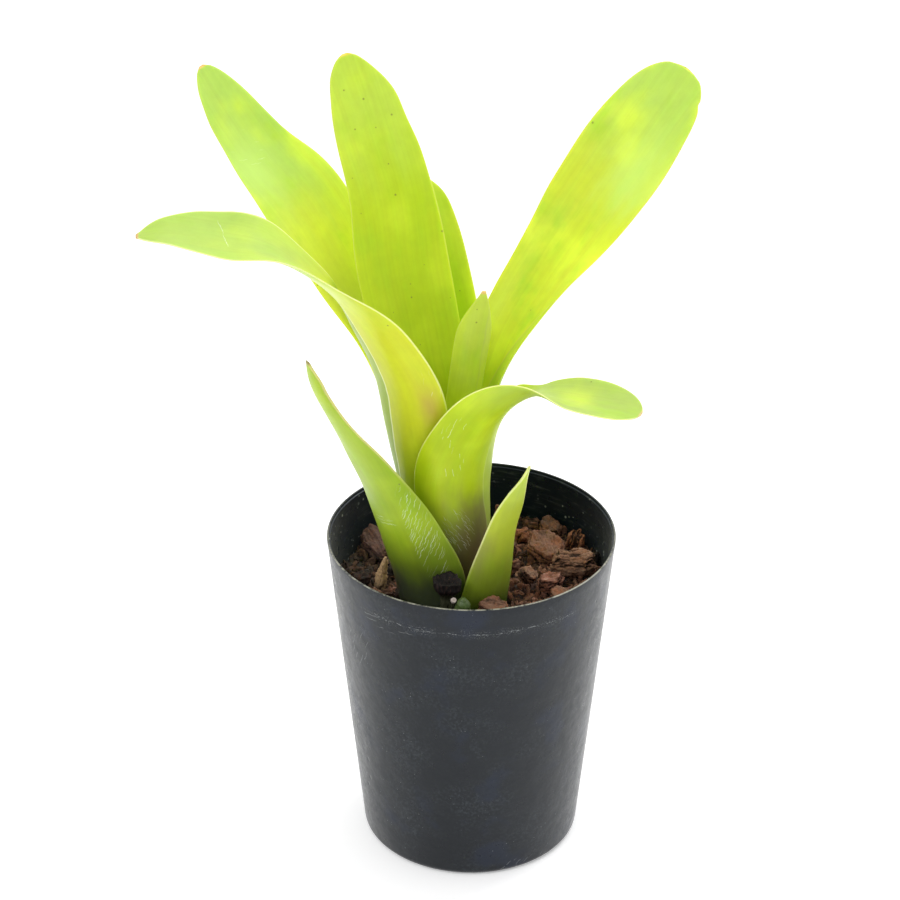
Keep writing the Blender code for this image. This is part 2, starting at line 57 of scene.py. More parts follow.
# %% [markdown]
# Node trees are long when each node takes three lines. A formula is shorter, so a socket is wrapped
# in a Term, and every operator between Terms adds the math node that does it. Vectors get the vector
# node, and a vector times a number is a scale.

# %% Sockets that stand in a formula
class Term:
    """An output socket; + - * / ** abs < > on it add a math node and give that node's output."""

    def __init__(self, tree, socket):
        self.tree, self.socket = tree, socket

    def clamped(self):
        self.socket.node.use_clamp = True
        return self


def is_vector(value):
    return isinstance(value, tuple) or (isinstance(value, Term) and value.socket.type == "VECTOR")


def operator(operation, swapped=False):
    def add_node(self, other=None):
        first, second = (other, self) if swapped else (self, other)
        if not (is_vector(first) or is_vector(second)):
            return self.tree.math(operation, first, second)
        if operation == "MULTIPLY" and not is_vector(second):
            operation_here = "SCALE"
        else:
            operation_here = operation
        return self.tree.vector(operation_here, first, second)
    return add_node


for name, operation in (("add", "ADD"), ("sub", "SUBTRACT"), ("mul", "MULTIPLY"),
                        ("truediv", "DIVIDE"), ("pow", "POWER")):
    setattr(Term, f"__{name}__", operator(operation))
    setattr(Term, f"__r{name}__", operator(operation, swapped=True))
Term.__abs__ = operator("ABSOLUTE")
Term.__lt__ = operator("LESS_THAN")
Term.__gt__ = operator("GREATER_THAN")
print("a Term knows", [name for name in vars(Term) if name.startswith("__r")])

# %% [markdown]
# The Tree adds a node, fills its open sockets from left to right or by name, and links any value
# that is a Term. It serves shader trees and geometry trees alike, and has a short name for each node
# that comes back often.

# %% A short way to write node trees
class Tree:
    """Adds nodes to one tree. A value may be a number, a colour, a name or a Term."""

    def __init__(self, tree):
        self.tree = tree
        self.count = 0

    def put(self, value, socket):
        if isinstance(value, Term):
            self.tree.links.new(value.socket, socket)
        elif value is not None:
            socket.default_value = value

    def node(self, kind, *values, named=None, **settings):
        made = self.tree.nodes.new(kind)
        made.location = (180 * (self.count % 12), -260 * (self.count // 12))
        self.count += 1
        for setting, value in settings.items():
            setattr(made, setting, value)
        open_sockets = [socket for socket in made.inputs if socket.enabled]
        for socket, value in zip(open_sockets, values):
            self.put(value, socket)
        for name, value in (named or {}).items():
            self.put(value, next(s for s in open_sockets if s.name == name))
        return made

    def outputs(self, node):
        return SimpleNamespace(**{s.name.replace(" ", "_"): Term(self, s)
                                  for s in node.outputs if s.enabled and s.name})

    def get(self, kind, *values, out=None, **settings):
        found = [s for s in self.node(kind, *values, **settings).outputs if s.enabled]
        return Term(self, next(s for s in found if out in (None, s.name)))

    def math(self, operation, *values):
        return self.get("ShaderNodeMath", *values, operation=operation)

    def vector(self, operation, *values):
        out = "Value" if operation in ("DOT_PRODUCT", "LENGTH", "DISTANCE") else "Vector"
        return self.get("ShaderNodeVectorMath", *values, operation=operation, out=out)

    def combine(self, x, y, z=0.0):
        return self.get("ShaderNodeCombineXYZ", x, y, z)

    def separate(self, vector):
        return [Term(self, s) for s in self.node("ShaderNodeSeparateXYZ", vector).outputs]

    def ramp(self, value, low, high, to_low=0.0, to_high=1.0, kind="SMOOTHSTEP"):
        return self.get("ShaderNodeMapRange", value, low, high, to_low, to_high,
                        interpolation_type=kind)

    def noise(self, vector, scale, detail=2.0, roughness=0.5):
        return self.get("ShaderNodeTexNoise", named={
            "Vector": vector, "Scale": scale, "Detail": detail, "Roughness": roughness})

    def voronoi(self, vector, scale=1.0, **settings):
        return self.outputs(self.node("ShaderNodeTexVoronoi", **settings, named={
            "Vector": vector, "Scale": scale}))

    def blend(self, factor, first, second):
        return self.get("ShaderNodeMix", data_type="RGBA", named={
            "Factor": factor, "A": first, "B": second})

    def attribute(self, name, out="Fac"):
        return self.get("ShaderNodeAttribute", attribute_name=name, out=out)

    def group(self, tree, **values):
        made = self.tree.nodes.new("ShaderNodeGroup")
        made.node_tree = tree
        for name, value in values.items():
            self.put(value, made.inputs[name.replace("_", " ")])
        return self.outputs(made)

    def returns(self, **values):
        for name, value in values.items():
            self.put(value, self.result[name])
        return self.tree


print("short names for nodes:", [name for name in vars(Tree) if not name.startswith("_")])

# %% [markdown]
# A node group is like a function: it has named inputs with defaults. The kind of each socket follows
# from its default: a whole number, a number, a vector of three or a colour of four. A socket without
# a default is given by the name of its kind.

# %% A node group with named sockets
def socket_kind(default):
    if isinstance(default, str):
        return default
    if isinstance(default, tuple):
        return "Vector" if len(default) == 3 else "Color"
    return "Int" if isinstance(default, int) else "Float"


def new_tree(name, kind, inputs, outputs):
    """An empty node group, and the values that it is given."""
    group = bpy.data.node_groups.new(name, kind)
    for way, rows in (("INPUT", inputs), ("OUTPUT", outputs)):
        for label, default in rows.items():
            made = group.interface.new_socket(label.replace("_", " "), in_out=way,
                                              socket_type="NodeSocket" + socket_kind(default))
            if not isinstance(default, str):
                made.default_value = default
    t = Tree(group)
    given = t.outputs(t.node("NodeGroupInput"))
    t.result = t.node("NodeGroupOutput").inputs
    return t, given


print("a colour needs a socket of kind", socket_kind((1, 1, 1, 1)))

# %% [markdown]
# ## Camera
#
# The picture was taken from the front with a long lens, looking down by about 29 degrees. A long lens
# keeps the pot's sides almost parallel, so the camera stands far off.

# %% Camera
CAMERA_TILT = 29.4          # degrees below the horizon
CAMERA_DISTANCE = 1100      # from the point it looks at
CAMERA_TARGET = (-7.75, 0.0, 159.0)
CAMERA_LENS, SENSOR_WIDTH = 123, 36


def link(name, data):
    """A new object in the scene that shows the given data."""
    made = bpy.data.objects.new(name, data)
    bpy.context.scene.collection.objects.link(made)
    return made


def make_camera():
    data = bpy.data.cameras.new("camera")
    data.lens, data.sensor_width = CAMERA_LENS, SENSOR_WIDTH
    data.clip_start, data.clip_end = 0.05, 20
    camera = link("camera", data)
    tilt = radians(CAMERA_TILT)
    back = Vector((0, -cos(tilt), sin(tilt)))
    camera.location = (Vector(CAMERA_TARGET) + back * CAMERA_DISTANCE) * MM
    camera.rotation_euler = (pi / 2 - tilt, 0, 0)
    bpy.context.scene.camera = camera
    return camera


camera = make_camera()
print("camera height above the floor: %.0f mm" % (camera.location.z / MM))

# %% [markdown]
# ## Light
#
# The light comes from everywhere, as in a white room of soft boxes. A bright world does most of it.
# It is darker behind the camera, so that the pot's sides shine more than its front, and a little
# brighter on the right. Two large lamps shape the leaves.

# %% Room and lamps
WORLD_FRONT, WORLD_BACK = 0.52, 1.18      # brightness behind the camera and behind the plant
WORLD_LEFT, WORLD_RIGHT = 0.87, 1.13      # shares of it at the two sides
LAMP_SIZE = 500
LAMPS = [                                 # name, place, aimed at, watts
    ("lamp_key", (430, 420, 1150), (0, 0, 120), 4.9),
    ("lamp_fill", (-560, -640, 900), (0, 0, 150), 4.2),
]


def make_world():
    world = bpy.data.worlds.new("white_room")
    bpy.context.scene.world = world
    world.use_nodes = True
    t = Tree(world.node_tree)
    to_right, towards_back, _ = t.separate(t.get("ShaderNodeTexCoord", out="Generated"))
    background = world.node_tree.nodes["Background"]
    background.inputs["Color"].default_value = (1.0, 1.0, 1.0, 1.0)
    t.put(t.ramp(towards_back, -0.9, 0.5, WORLD_FRONT, WORLD_BACK)
          * t.ramp(to_right, -1.0, 1.0, WORLD_LEFT, WORLD_RIGHT), background.inputs["Strength"])


def make_lamp(name, place, aim, watts):
    data = bpy.data.lights.new(name, "AREA")
    data.shape = "RECTANGLE"
    data.size = data.size_y = LAMP_SIZE * MM
    data.energy = watts
    lamp = link(name, data)
    lamp.location = Vector(place) * MM
    lamp.rotation_euler = (Vector(aim) - Vector(place)).to_track_quat("-Z", "Y").to_euler()


make_world()
for row in LAMPS:
    make_lamp(*row)
bpy.context.scene.view_settings.view_transform = "Standard"
print("lamps:", len(LAMPS))

# %% [markdown]
# ## Floor
#
# The pot stands on a white sweep that is lit from below. It could be a curved sheet, but from this
# height a plane that glows a little looks the same and leaves only a faint shadow round the pot.

# %% Floor
FLOOR_GLOW = 0.27


def new_material(name):
    material = bpy.data.materials.new(name)
    material.use_nodes = True
    return material, Tree(material.node_tree), material.node_tree.nodes["Principled BSDF"]


def set_constants(shader, **constants):
    for label, value in constants.items():
        shader.inputs[label.replace("_", " ")].default_value = value


def make_floor():
    bpy.ops.mesh.primitive_plane_add(size=6)
    floor = bpy.context.object
    floor.name = "floor"
    material, _, shader = new_material("white_sweep")
    set_constants(shader, Base_Color=(0.93, 0.93, 0.935, 1), Roughness=0.9, Specular_IOR_Level=0.1,
                  Emission_Color=(1, 1, 1, 1), Emission_Strength=FLOOR_GLOW)
    floor.data.materials.append(material)


make_floor()
print("floor glow:", FLOOR_GLOW)

# %% [markdown]
# ## The leaves' shape
#
# A bromeliad leaf is a strap. Near its base it is rolled round the plant's axis like a sheath; further
# out it opens to a shallow gutter and closes to a small point. So one rule makes all nine: a midrib
# through space, and at each place along it a width, how far the section curls, the way the underside
# faces and a roll. The tables below are the ones that shaped the solids. A margin may be trimmed or
# swollen at a place, because no real leaf is even.

# %% Leaf tables
# The axis of the rosette leans a little, from the buried stem up to the mouth of the tube.
AXIS_LOW = (-7.0, -9.0, 100.0)
AXIS_HIGH = (-11.0, -8.0, 157.0)

# Sheath rows: height, distance of the midrib from the axis, azimuth, wrap round the axis, roll.
# Blade rows: x, y, z of the midrib, width, curl, azimuth that the underside faces, roll.
# Tip: the length over which the outline closes, and how blunt it is.
# Trims, where a margin is nicked or swollen: side, place along the leaf, reach, depth.
LEAVES = {
    "leaf_heart": dict(
        sheath=[(102.8, 3, 268, 150, 0), (115, 4, 270, 155, 0), (135, 5, 274, 155, 0),
                (157, 6.5, 280, 150, 0)],
        blade=[(-4, -14, 178, 15, 135, 278, 0), (-1, -13.5, 198, 15, 120, 280, 0),
               (1.5, -12.5, 214, 13.5, 100, 282, 0), (4, -11, 228, 8, 90, 282, 0)],
        tip=(18, 1.6)),
    "leaf_tall_back": dict(
        sheath=[(101.7, 4.4, 115, 170, 0), (112, 6, 115, 180, 0), (135, 8, 115, 190, 0),
                (157, 9.6, 115, 180, 0)],
        trims=[(1, 196, 6, -0.9), (-1, 186, 9, -1.2), (-1, 165, 10, -0.6)],
        blade=[(-17, 4, 178, 33, 120, 115, 0), (-21, 11, 200, 35, 80, 115, 0),
               (-25.5, 18, 222, 36, 55, 112, 0), (-29, 27, 246, 31.5, 40, 108, 0),
               (-36.5, 36, 270, 26, 30, 105, 0), (-44.5, 44, 293, 17, 25, 105, 0)],
        tip=(22, 2.1)),
    "leaf_right": dict(
        sheath=[(99.6, 6.4, 20, 130, 0), (112, 8.6, 18, 130, 0), (135, 12, 15, 125, 0),
                (157, 14.6, 15, 115, 0)],
        trims=[(-1, 209.8, 1.2, 0.9), (-1, 135, 12, -0.9), (-1, 105, 10, -0.8), (1, 146, 10, 0.7)],
        blade=[(5.2, -2.2, 178, 26, 105, 20, 2), (11.7, 3.8, 200, 27, 85, 26, 6),
               (26, 15, 222, 31, 55, 32, 9), (43, 27, 244, 36, 35, 35, 20),
               (59.5, 37, 266, 35.5, 28, 36, 20), (75.5, 45, 287, 26, 22, 36, 18)],
        tip=(20, 2.6)),
    "leaf_left_back": dict(
        sheath=[(97.6, 8, 150, 115, 0), (112, 9.6, 150, 120, 0), (135, 12, 150, 120, 0),
                (157, 14.3, 152, 115, 0)],
        trims=[(1, 190, 8, 1.0), (-1, 170, 10, -1.2), (1, 212, 4, -0.4)],
        blade=[(-27, 2, 175, 29, 105, 153, 0), (-34, 10.5, 197, 31, 80, 152, -4),
               (-45.5, 19, 220, 33, 50, 147, -10), (-59.5, 29, 242, 35, 30, 143, -12),
               (-78, 38, 262, 26, 25, 140, -10), (-95, 45, 288, 15, 20, 140, -8)],
        tip=(20, 2.1)),
    "leaf_back": dict(
        sheath=[(97, 9.6, 78, 100, 0), (112, 11.4, 78, 105, 0), (135, 14, 78, 100, 0),
                (157, 16.2, 77, 95, 0)],
        blade=[(-7.5, 13, 175, 26, 80, 76, 0), (-8, 24, 197, 25, 60, 76, 0),
               (-12.6, 36, 218, 23, 45, 78, 0), (-17.8, 49, 232, 20, 35, 80, 0),
               (-22, 61, 240, 13, 30, 80, 0)],
        tip=(18, 2.0)),
    "leaf_left_arching": dict(
        sheath=[(96.3, 10.2, 240, 115, 0), (112, 12.2, 240, 115, 0), (135, 14.2, 239, 112, 0),
                (157, 15.9, 238, 108, 0)],
        trims=[(-1, 112, 12, -2.0), (-1, 72, 10, 1.0)],
        blade=[(-22.5, -21, 175, 32, 100, 237, 0), (-26, -24.5, 197, 33, 85, 233, 0),
               (-36, -26, 218, 33, 75, 225, 0), (-48, -27, 235, 28, 60, 212, -4),
               (-67, -27, 250.6, 27, 50, 205, -13), (-86, -27, 255.3, 26, 40, 200, -16),
               (-103, -27, 257.8, 19, 30, 200, -12), (-113, -27, 256.2, 12, 20, 200, -8)],
        tip=(20, 1.7)),
    "leaf_right_arching": dict(
        sheath=[(95.2, 12, 312, 95, 0), (112, 13.9, 312, 97, 0), (135, 15.9, 311, 104, 0),
                (157, 17.7, 303, 130, 0)],
        trims=[(1, 130, 13, -1.3), (-1, 132, 13, -1.2)],
        blade=[(3.5, -24.5, 177, 41, 120, 312, 0), (11.5, -27.5, 190.5, 38, 105, 320, -7),
               (22, -30, 197.5, 27, 60, 328, -20), (36, -34, 197, 26, 45, 332, -5),
               (50, -38, 196.5, 24, 35, 333, 0), (57.5, -41, 196, 18, 25, 333, 0)],
        tip=(16, 2.2)),
    "leaf_left_outer": dict(
        sheath=[(92.7, 17.5, 226, 105, 0), (107, 19, 228, 112, 0)],
        trims=[(1, 124, 5, -0.4)],
        blade=[(-21.5, -25.5, 122, 40, 108, 234, 0), (-26, -28, 139, 36, 95, 233, 0),
               (-31.8, -30, 156, 30.5, 82, 230, 0), (-38, -32, 170, 24, 75, 227, 0),
               (-45.5, -35, 186, 16, 70, 222, 0), (-52.8, -38, 203, 8.5, 60, 220, 0),
               (-56, -40, 216, 5, 40, 218, 0)],
        tip=(10, 1.6)),
    "leaf_right_outer": dict(
        sheath=[(92, 19.8, 309, 70, 0), (104, 20.8, 309, 70, 0)],
        trims=[(1, 69, 9, 1.5), (-1, 69, 9, 0.7)],
        blade=[(8, -27.5, 120, 23, 75, 308, 0), (11, -28, 138, 16.5, 80, 306, 0),
               (15.2, -29, 154, 11, 75, 304, 0), (20, -30, 169.5, 4, 60, 304, 0)],
        tip=(12, 1.5)),
}
LEAF_POINT = 1.5            # narrowest width left at a tip
MIDRIB_POINTS = 161
SPINE_STEPS = 400
print("leaves:", len(LEAVES))

# %% [markdown]
# The rows are joined by a smooth curve that passes through each of them (a Catmull-Rom curve). The
# result is stored as a chain of edges, and what the section needs travels with each point as an
# attribute: "section" holds both half widths and the bend radius, "turn" the facing and the roll.

# %% The midrib of one leaf
def axis_at(height):
    share = (height - AXIS_LOW[2]) / (AXIS_HIGH[2] - AXIS_LOW[2])
    return [AXIS_LOW[k] + share * (AXIS_HIGH[k] - AXIS_LOW[k]) for k in (0, 1)]


def smooth_rows(rows, count):
    """Points spread along a smooth curve that passes through every row."""
    rows = np.asarray(rows, float)
    ends = np.vstack([2 * rows[0] - rows[1], rows, 2 * rows[-1] - rows[-2]])
    spans = len(rows) - 1
    result = []
    for t in np.linspace(0, spans, count):
        i = min(int(t), spans - 1)
        f = t - i
        a, b, c, d = ends[i:i + 4]
        result.append(0.5 * (2 * b + (c - a) * f + (2 * a - 5 * b + 4 * c - d) * f**2
                             + (3 * b - a - 3 * c + d) * f**3))
    return np.array(result)


def midrib_table(leaf):
    """Along the leaf: points, half widths, bend radius, facing, roll and distance."""
    table = []
    for height, distance, azimuth, wrap, roll in leaf["sheath"]:
        x, y = axis_at(height)
        turn = radians(azimuth)
        table.append((x + distance * cos(turn), y + distance * sin(turn), height,
                      distance * radians(wrap), wrap, azimuth, roll))
    fine = smooth_rows(table + list(leaf["blade"]), SPINE_STEPS)
    steps = np.linalg.norm(np.diff(fine[:, :3], axis=0), axis=1)
    travelled = np.concatenate([[0], np.cumsum(steps)])
    length = travelled[-1]
    along = np.linspace(0, length, MIDRIB_POINTS)
    row = np.stack([np.interp(along, travelled, fine[:, k]) for k in range(7)], 1)
    tip_length, bluntness = leaf["tip"]
    closing = np.clip(1 - (length - along) / tip_length, 0, 1)
    outline = np.maximum(1 - closing ** bluntness, 0) ** (1 / bluntness)
    half = np.maximum(row[:, 3] * outline, LEAF_POINT) / 2
    halves = {-1: half.copy(), 1: half.copy()}
    for side, place, reach, depth in leaf.get("trims", ()):
        bump = np.exp(-((along - place) / reach) ** 2)
        halves[side] = np.maximum(halves[side] - depth * bump, LEAF_POINT / 4)
    bend = row[:, 3] / np.radians(row[:, 4])
    return row[:, :3], halves, bend, np.radians(row[:, 5]), np.radians(row[:, 6]), along


def midrib_object(name, leaf):
    points, halves, bend, facing, roll, along = midrib_table(leaf)
    mesh = bpy.data.meshes.new(name)
    edges = [(i, i + 1) for i in range(len(points) - 1)]
    mesh.from_pydata((points * MM).tolist(), edges, [])
    section = np.stack([halves[-1] * MM, halves[1] * MM, bend * MM], 1)
    turn = np.stack([facing, roll, along * MM], 1)
    for label, values in (("section", section), ("turn", turn)):
        stored = mesh.attributes.new(label, "FLOAT_VECTOR", "POINT")
        stored.data.foreach_set("vector", values.astype(np.float32).ravel())
    return link(name, mesh), along[-1]


print("points on each midrib:", MIDRIB_POINTS)

# %% [markdown]
# The strap itself is made by Geometry Nodes, because its shape is a rule. A flat grid is laid out,
# with its columns crowded towards the margins. Each point looks up its place on the midrib, and an
# arc is bent across. A slow wave lifts the margins a little in the outer half.

# %% Strap leaf: the bent sheet
LEAF_INPUTS = dict(
    Midrib="Geometry", Rows=140, Columns=33, Thickness=0.0009, Ripple=0.0004, Ripple_length=0.03,
    Phase=0.0, Length=0.2, Material="Material")
TIP_CROWDING = 1.15         # rows lie closer together towards the tip


def bent_sheet(t, given):
    """The grid, where its points go, and where they lie on the leaf."""
    grid = t.get("GeometryNodeMeshGrid", 1.0, 1.0, given.Columns, given.Rows)
    x, y, _ = t.separate(t.get("GeometryNodeInputPosition"))
    share = t.math("SINE", x * 2.0 * (pi / 2))       # -1 at one margin, 1 at the other
    along = 1.0 - (1.0 - (y + 0.5)).clamped() ** TIP_CROWDING
    line = t.get("GeometryNodeMeshToCurve", given.Midrib)

    def look_up(label):
        value = t.get("GeometryNodeInputNamedAttribute", label, data_type="FLOAT_VECTOR")
        return t.outputs(t.node("GeometryNodeSampleCurve", line, value, along, mode="FACTOR",
                                data_type="FLOAT_VECTOR"))

    def rolled(direction):
        return t.get("ShaderNodeVectorRotate", direction, (0, 0, 0), ahead, roll,
                     rotation_type="AXIS_ANGLE")

    found = look_up("section")
    left, right, bend = t.separate(found.Value)
    facing, roll, _ = t.separate(look_up("turn").Value)
    ahead = t.vector("NORMALIZE", found.Tangent)
    level = t.combine(t.math("SINE", facing) * -1.0, t.math("COSINE", facing))
    across = t.vector("NORMALIZE", level - ahead * t.vector("DOT_PRODUCT", ahead, level))
    inward = t.vector("CROSS_PRODUCT", ahead, across)

    half = t.get("ShaderNodeMix", share > 0.0, left, right, data_type="FLOAT")
    off = share * half
    angle = off / bend
    wave = t.math("SINE", along * (given.Length * (2 * pi) / given.Ripple_length)
                  + (given.Phase + share * 1.3))
    swell = abs(share) ** 3.0 * t.ramp(along, 0.35, 0.7)
    lift = bend * (1.0 - t.math("COSINE", angle)) + wave * swell * given.Ripple
    place = found.Position + rolled(across) * (bend * t.math("SINE", angle))
    place = place + rolled(inward) * lift
    return grid, place, share, along, off, (1.0 - abs(share)) * half


print("inputs of the strap leaf:", ", ".join(LEAF_INPUTS))

# %% [markdown]
# A sheet has no thickness. Two copies of it move apart along their normals, by an amount that falls
# to nothing at the rim and at both ends, and are merged there into one closed skin. The two are split
# into triangles along different diagonals, so that they never share an edge inside. The tree also
# stores where each point lies on the leaf, so that the material can follow veins and margins.

# %% Strap leaf: the closed skin
MERGE_DISTANCE = 0.000004


def store(t, geometry, label, value, data_type="FLOAT", domain="POINT"):
    return t.get("GeometryNodeStoreNamedAttribute", geometry, None, label, value,
                 data_type=data_type, domain=domain)


def finished(t, mesh, material, smooth=True):
    mesh = t.get("GeometryNodeSetShadeSmooth", mesh, None, smooth)
    mesh = t.get("GeometryNodeRealizeInstances", mesh)
    return t.get("GeometryNodeSetMaterial", mesh, None, material)


def make_leaf_tree():
    t, given = new_tree("strap_leaf", "GeometryNodeTree", LEAF_INPUTS, dict(Leaf="Geometry"))
    mesh, place, share, along, off, edge = bent_sheet(t, given)
    body = t.math("SQRT", (1.0 - abs(share) ** 8.0).clamped())
    ends = t.math("SQRT", (1.0 - abs(along * 2.0 - 1.0) ** 160.0).clamped())
    for label, value, data_type, domain in (
            ("leaf_mm", t.combine(off, along * given.Length, edge) * 1000.0, "FLOAT_VECTOR", "POINT"),
            ("leaf_half_thickness", body * ends * given.Thickness * 0.5, "FLOAT", "POINT"),
            ("leaf_along", along, "FLOAT", "POINT"),
            ("UVMap", t.combine(share * 0.5 + 0.5, along), "FLOAT2", "CORNER")):
        mesh = store(t, mesh, label, value, data_type, domain)
    sheet = t.get("GeometryNodeSetPosition", mesh, None, place)
    half = t.get("GeometryNodeInputNamedAttribute", "leaf_half_thickness", data_type="FLOAT")
    outward = t.get("GeometryNodeInputNormal") * half
    under = t.get("GeometryNodeFlipFaces", sheet)
    both = t.node("GeometryNodeJoinGeometry")
    for side, label, split in ((under, -1.0, "FIXED_ALTERNATE"), (sheet, 1.0, "FIXED")):
        side = t.get("GeometryNodeTriangulate", side, quad_method=split)
        side = store(t, side, "leaf_side", label)
        t.put(t.get("GeometryNodeSetPosition", side, None, None, outward), both.inputs[0])
    skin = t.get("GeometryNodeMergeByDistance", t.outputs(both).Geometry, None, MERGE_DISTANCE)
    return t.returns(Leaf=finished(t, skin, given.Material))


LEAF_TREE = make_leaf_tree()
print("nodes in the leaf tree:", len(LEAF_TREE.nodes))

# %% [markdown]
# A modifier holds a tree's inputs under hidden names, the sockets' identifiers. This helper sets them
# by their plain names before the object is first evaluated, then turns the result into a plain mesh
# and removes the modifier and its carrier. From here on every piece is an ordinary mesh whose object
# sits at the origin.

# %% From a tree to a plain mesh
def plain_mesh(carrier, name):
    """The evaluated mesh of an object that is then removed, as a piece of its own."""
    graph = bpy.context.evaluated_depsgraph_get()
    mesh = bpy.data.meshes.new_from_object(carrier.evaluated_get(graph))
    bpy.data.objects.remove(carrier)
    mesh.name = name
    return link(name, mesh)


def grow(name, carrier, tree, **values):
    """The piece that a geometry tree makes from a carrier object."""
    modifier = carrier.modifiers.new("nodes", "NODES")
    modifier.node_group = tree
    for item in tree.interface.items_tree:
        label = item.name.replace(" ", "_")
        if item.item_type == "SOCKET" and item.in_out == "INPUT" and label in values:
            modifier[item.identifier] = values[label]
    return plain_mesh(carrier, name)


def settle(piece, *nodes, slot):
    """The piece rides on the one body and stands for its solids. The slot is not used."""
    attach(piece, "root")
    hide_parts(*nodes)
    return piece


# %% [markdown]
# ## Finishes that are shared
#
# Three patterns come back on several pieces, so each is a node group. Scratches are short strokes
# that lie side by side: each cell of a stretched Voronoi pattern holds one stroke, and a random part
# of the cells stays empty. Specks are dots in cells, in space for the pot and flat for the leaves.

# %% Strokes and specks
SKIN_OUTPUTS = dict(Color="Color", Roughness="Float", Height="Float")


def cells(t, place, dimensions):
    """Scattered cells: distance and way to the middle of each, and two random numbers."""
    dots = t.voronoi(place, voronoi_dimensions=dimensions)
    colour = t.outputs(t.node("ShaderNodeSeparateColor", dots.Color))
    return dots, colour.Red, colour.Green


def make_strokes_group():
    t, given = new_tree("fine_strokes", "ShaderNodeTree", dict(
        Place="Vector", Centre=(0, 0, 0), Reach=(5, 10, 1), Angle=0.5, Spacing=0.8, Stroke=8.0,
        Share=0.5, Width=0.11), dict(Mask="Float"))
    from_centre = given.Place - given.Centre
    reach = t.vector("LENGTH", from_centre * (1, 1, 0) / given.Reach)
    turned = t.get("ShaderNodeVectorRotate", rotation_type="Z_AXIS", named={
        "Vector": from_centre, "Angle": given.Angle})
    x, y, _ = t.separate(turned)
    wander = (t.noise(from_centre, 0.35) - 0.5) * 1.6
    cell = t.combine((x + wander) / given.Spacing, y / given.Stroke)
    dots, chance, faint = cells(t, cell, "2D")
    aside, ahead, _ = t.separate(cell - dots.Position)
    near = (t.ramp(abs(aside) * given.Spacing, given.Width, given.Width * 0.4)
            * t.ramp(abs(ahead), 0.45, 0.30))
    chosen = (chance < given.Share) * t.ramp(faint, 0.0, 1.0, 0.15, 1.0)
    return t.returns(Mask=near * chosen * t.ramp(reach, 0.75, 1.0, 1.0, 0.0))


def make_specks_group(name, dimensions):
    t, given = new_tree(name, "ShaderNodeTree", dict(
        Place="Vector", Spacing=4.0, Size=0.3, Share=0.4), dict(Mask="Float"))
    dots, chance, bigness = cells(t, given.Place * (1.0 / given.Spacing), dimensions)
    size = given.Size / given.Spacing * t.ramp(bigness, 0.0, 1.0, 0.5, 1.2)
    return t.returns(Mask=t.ramp(dots.Distance, size, size * 0.5) * (chance < given.Share))


STROKES = make_strokes_group()
SPECKS = make_specks_group("specks", "3D")
FLAT_SPECKS = make_specks_group("flat_specks", "2D")
print("shared groups:", STROKES.name, SPECKS.name, FLAT_SPECKS.name)

# %% [markdown]
# ## The leaves' finish
#
# The living leaf is thin, glossy and lets light through, which makes it glow. Its colour runs along
# the strap: brown-purple and dark green where it is rolled in the bark, vivid yellow-green in the
# lower blade, which is partly its own colour and partly a painted glow of the light that shines
# through it, and a paler, greyer green towards the end. Soft clouds lie over that, a brighter and a
# deeper kind. All of it reads the place stored on the leaf, in millimetres.

# %% Colours along the leaf
def leaf_place(t, seed):
    """Where a point lies on its leaf, and noise that is x mm wide and y mm long there."""
    place = t.attribute("leaf_mm", "Vector")
    off, run, edge = t.separate(place)

    def pattern(x, y, detail=2.0, roughness=0.5, shift=seed):
        return t.noise(place * (1 / x, 1 / y, 0.0) + t.combine(0, 0, shift), 1.0, detail, roughness)

    return SimpleNamespace(place=place, off=off, run=run, edge=edge, pattern=pattern, seed=seed,
                           along=t.attribute("leaf_along"), side=t.attribute("leaf_side"))


def leaf_ground(t, given, leaf):
    reach = leaf.along + (leaf.pattern(9, 30) - 0.5) * 0.16
    # The Sheath colour is partly the leaf's own yellow-green and partly a painted glow of light shining
    # through the lower blade.
    colour = t.blend(t.ramp(reach, given.Base_end * 0.5, given.Base_end), given.Base, given.Sheath)
    colour = t.blend(t.ramp(reach, given.Base_end, given.Sheath_end), colour, given.Blade)
    colour = t.blend(t.ramp(reach, given.Far_start, given.Far_start + 0.22), colour, given.Far)
    amount = given.Cloud_amount * t.ramp(reach, given.Base_end, given.Base_end + 0.15)
    bright = leaf.pattern(16, 22)
    colour = t.blend(t.ramp(bright, 0.45, 0.78) * amount, colour, given.Bright)
    deep = leaf.pattern(12, 18, 3, 0.55, shift=leaf.seed + 7.7)
    return t.blend(t.ramp(deep, 0.50, 0.80) * amount, colour, given.Deep)


print("the leaf's noise is laid out in millimetres across and along it")

# %% [markdown]
# Fine veins run lengthwise, in two widths, and a slight mottle crosses them. They change the value of
# the colour and a little of its hue. Blushes are frayed patches, brown near old bases and pale where
# a blade is thin; on the left outer leaf a dark one at the foot is painted shade. A few brown specks
# are scattered over it.

# %% Veins, blush and specks
SHEEN = (0.62, 0.70, 0.42, 1)
SPECK_BROWN = (0.16, 0.17, 0.03, 1)


def leaf_veins(t, leaf, colour):
    vein, streak = leaf.pattern(0.85, 60, 2, 0.6), leaf.pattern(2.8, 90, 1)
    mottle = leaf.pattern(3.2, 4.2, 4, 0.6) - 0.5
    tone = ((vein - 0.5) * 0.16 + (streak - 0.5) * 0.12) * 0.8 + mottle * 0.16
    return vein, t.get("ShaderNodeHueSaturation", named={
        "Color": colour, "Value": tone + 1.0, "Hue": (streak - 0.5) * 0.012 + 0.5})


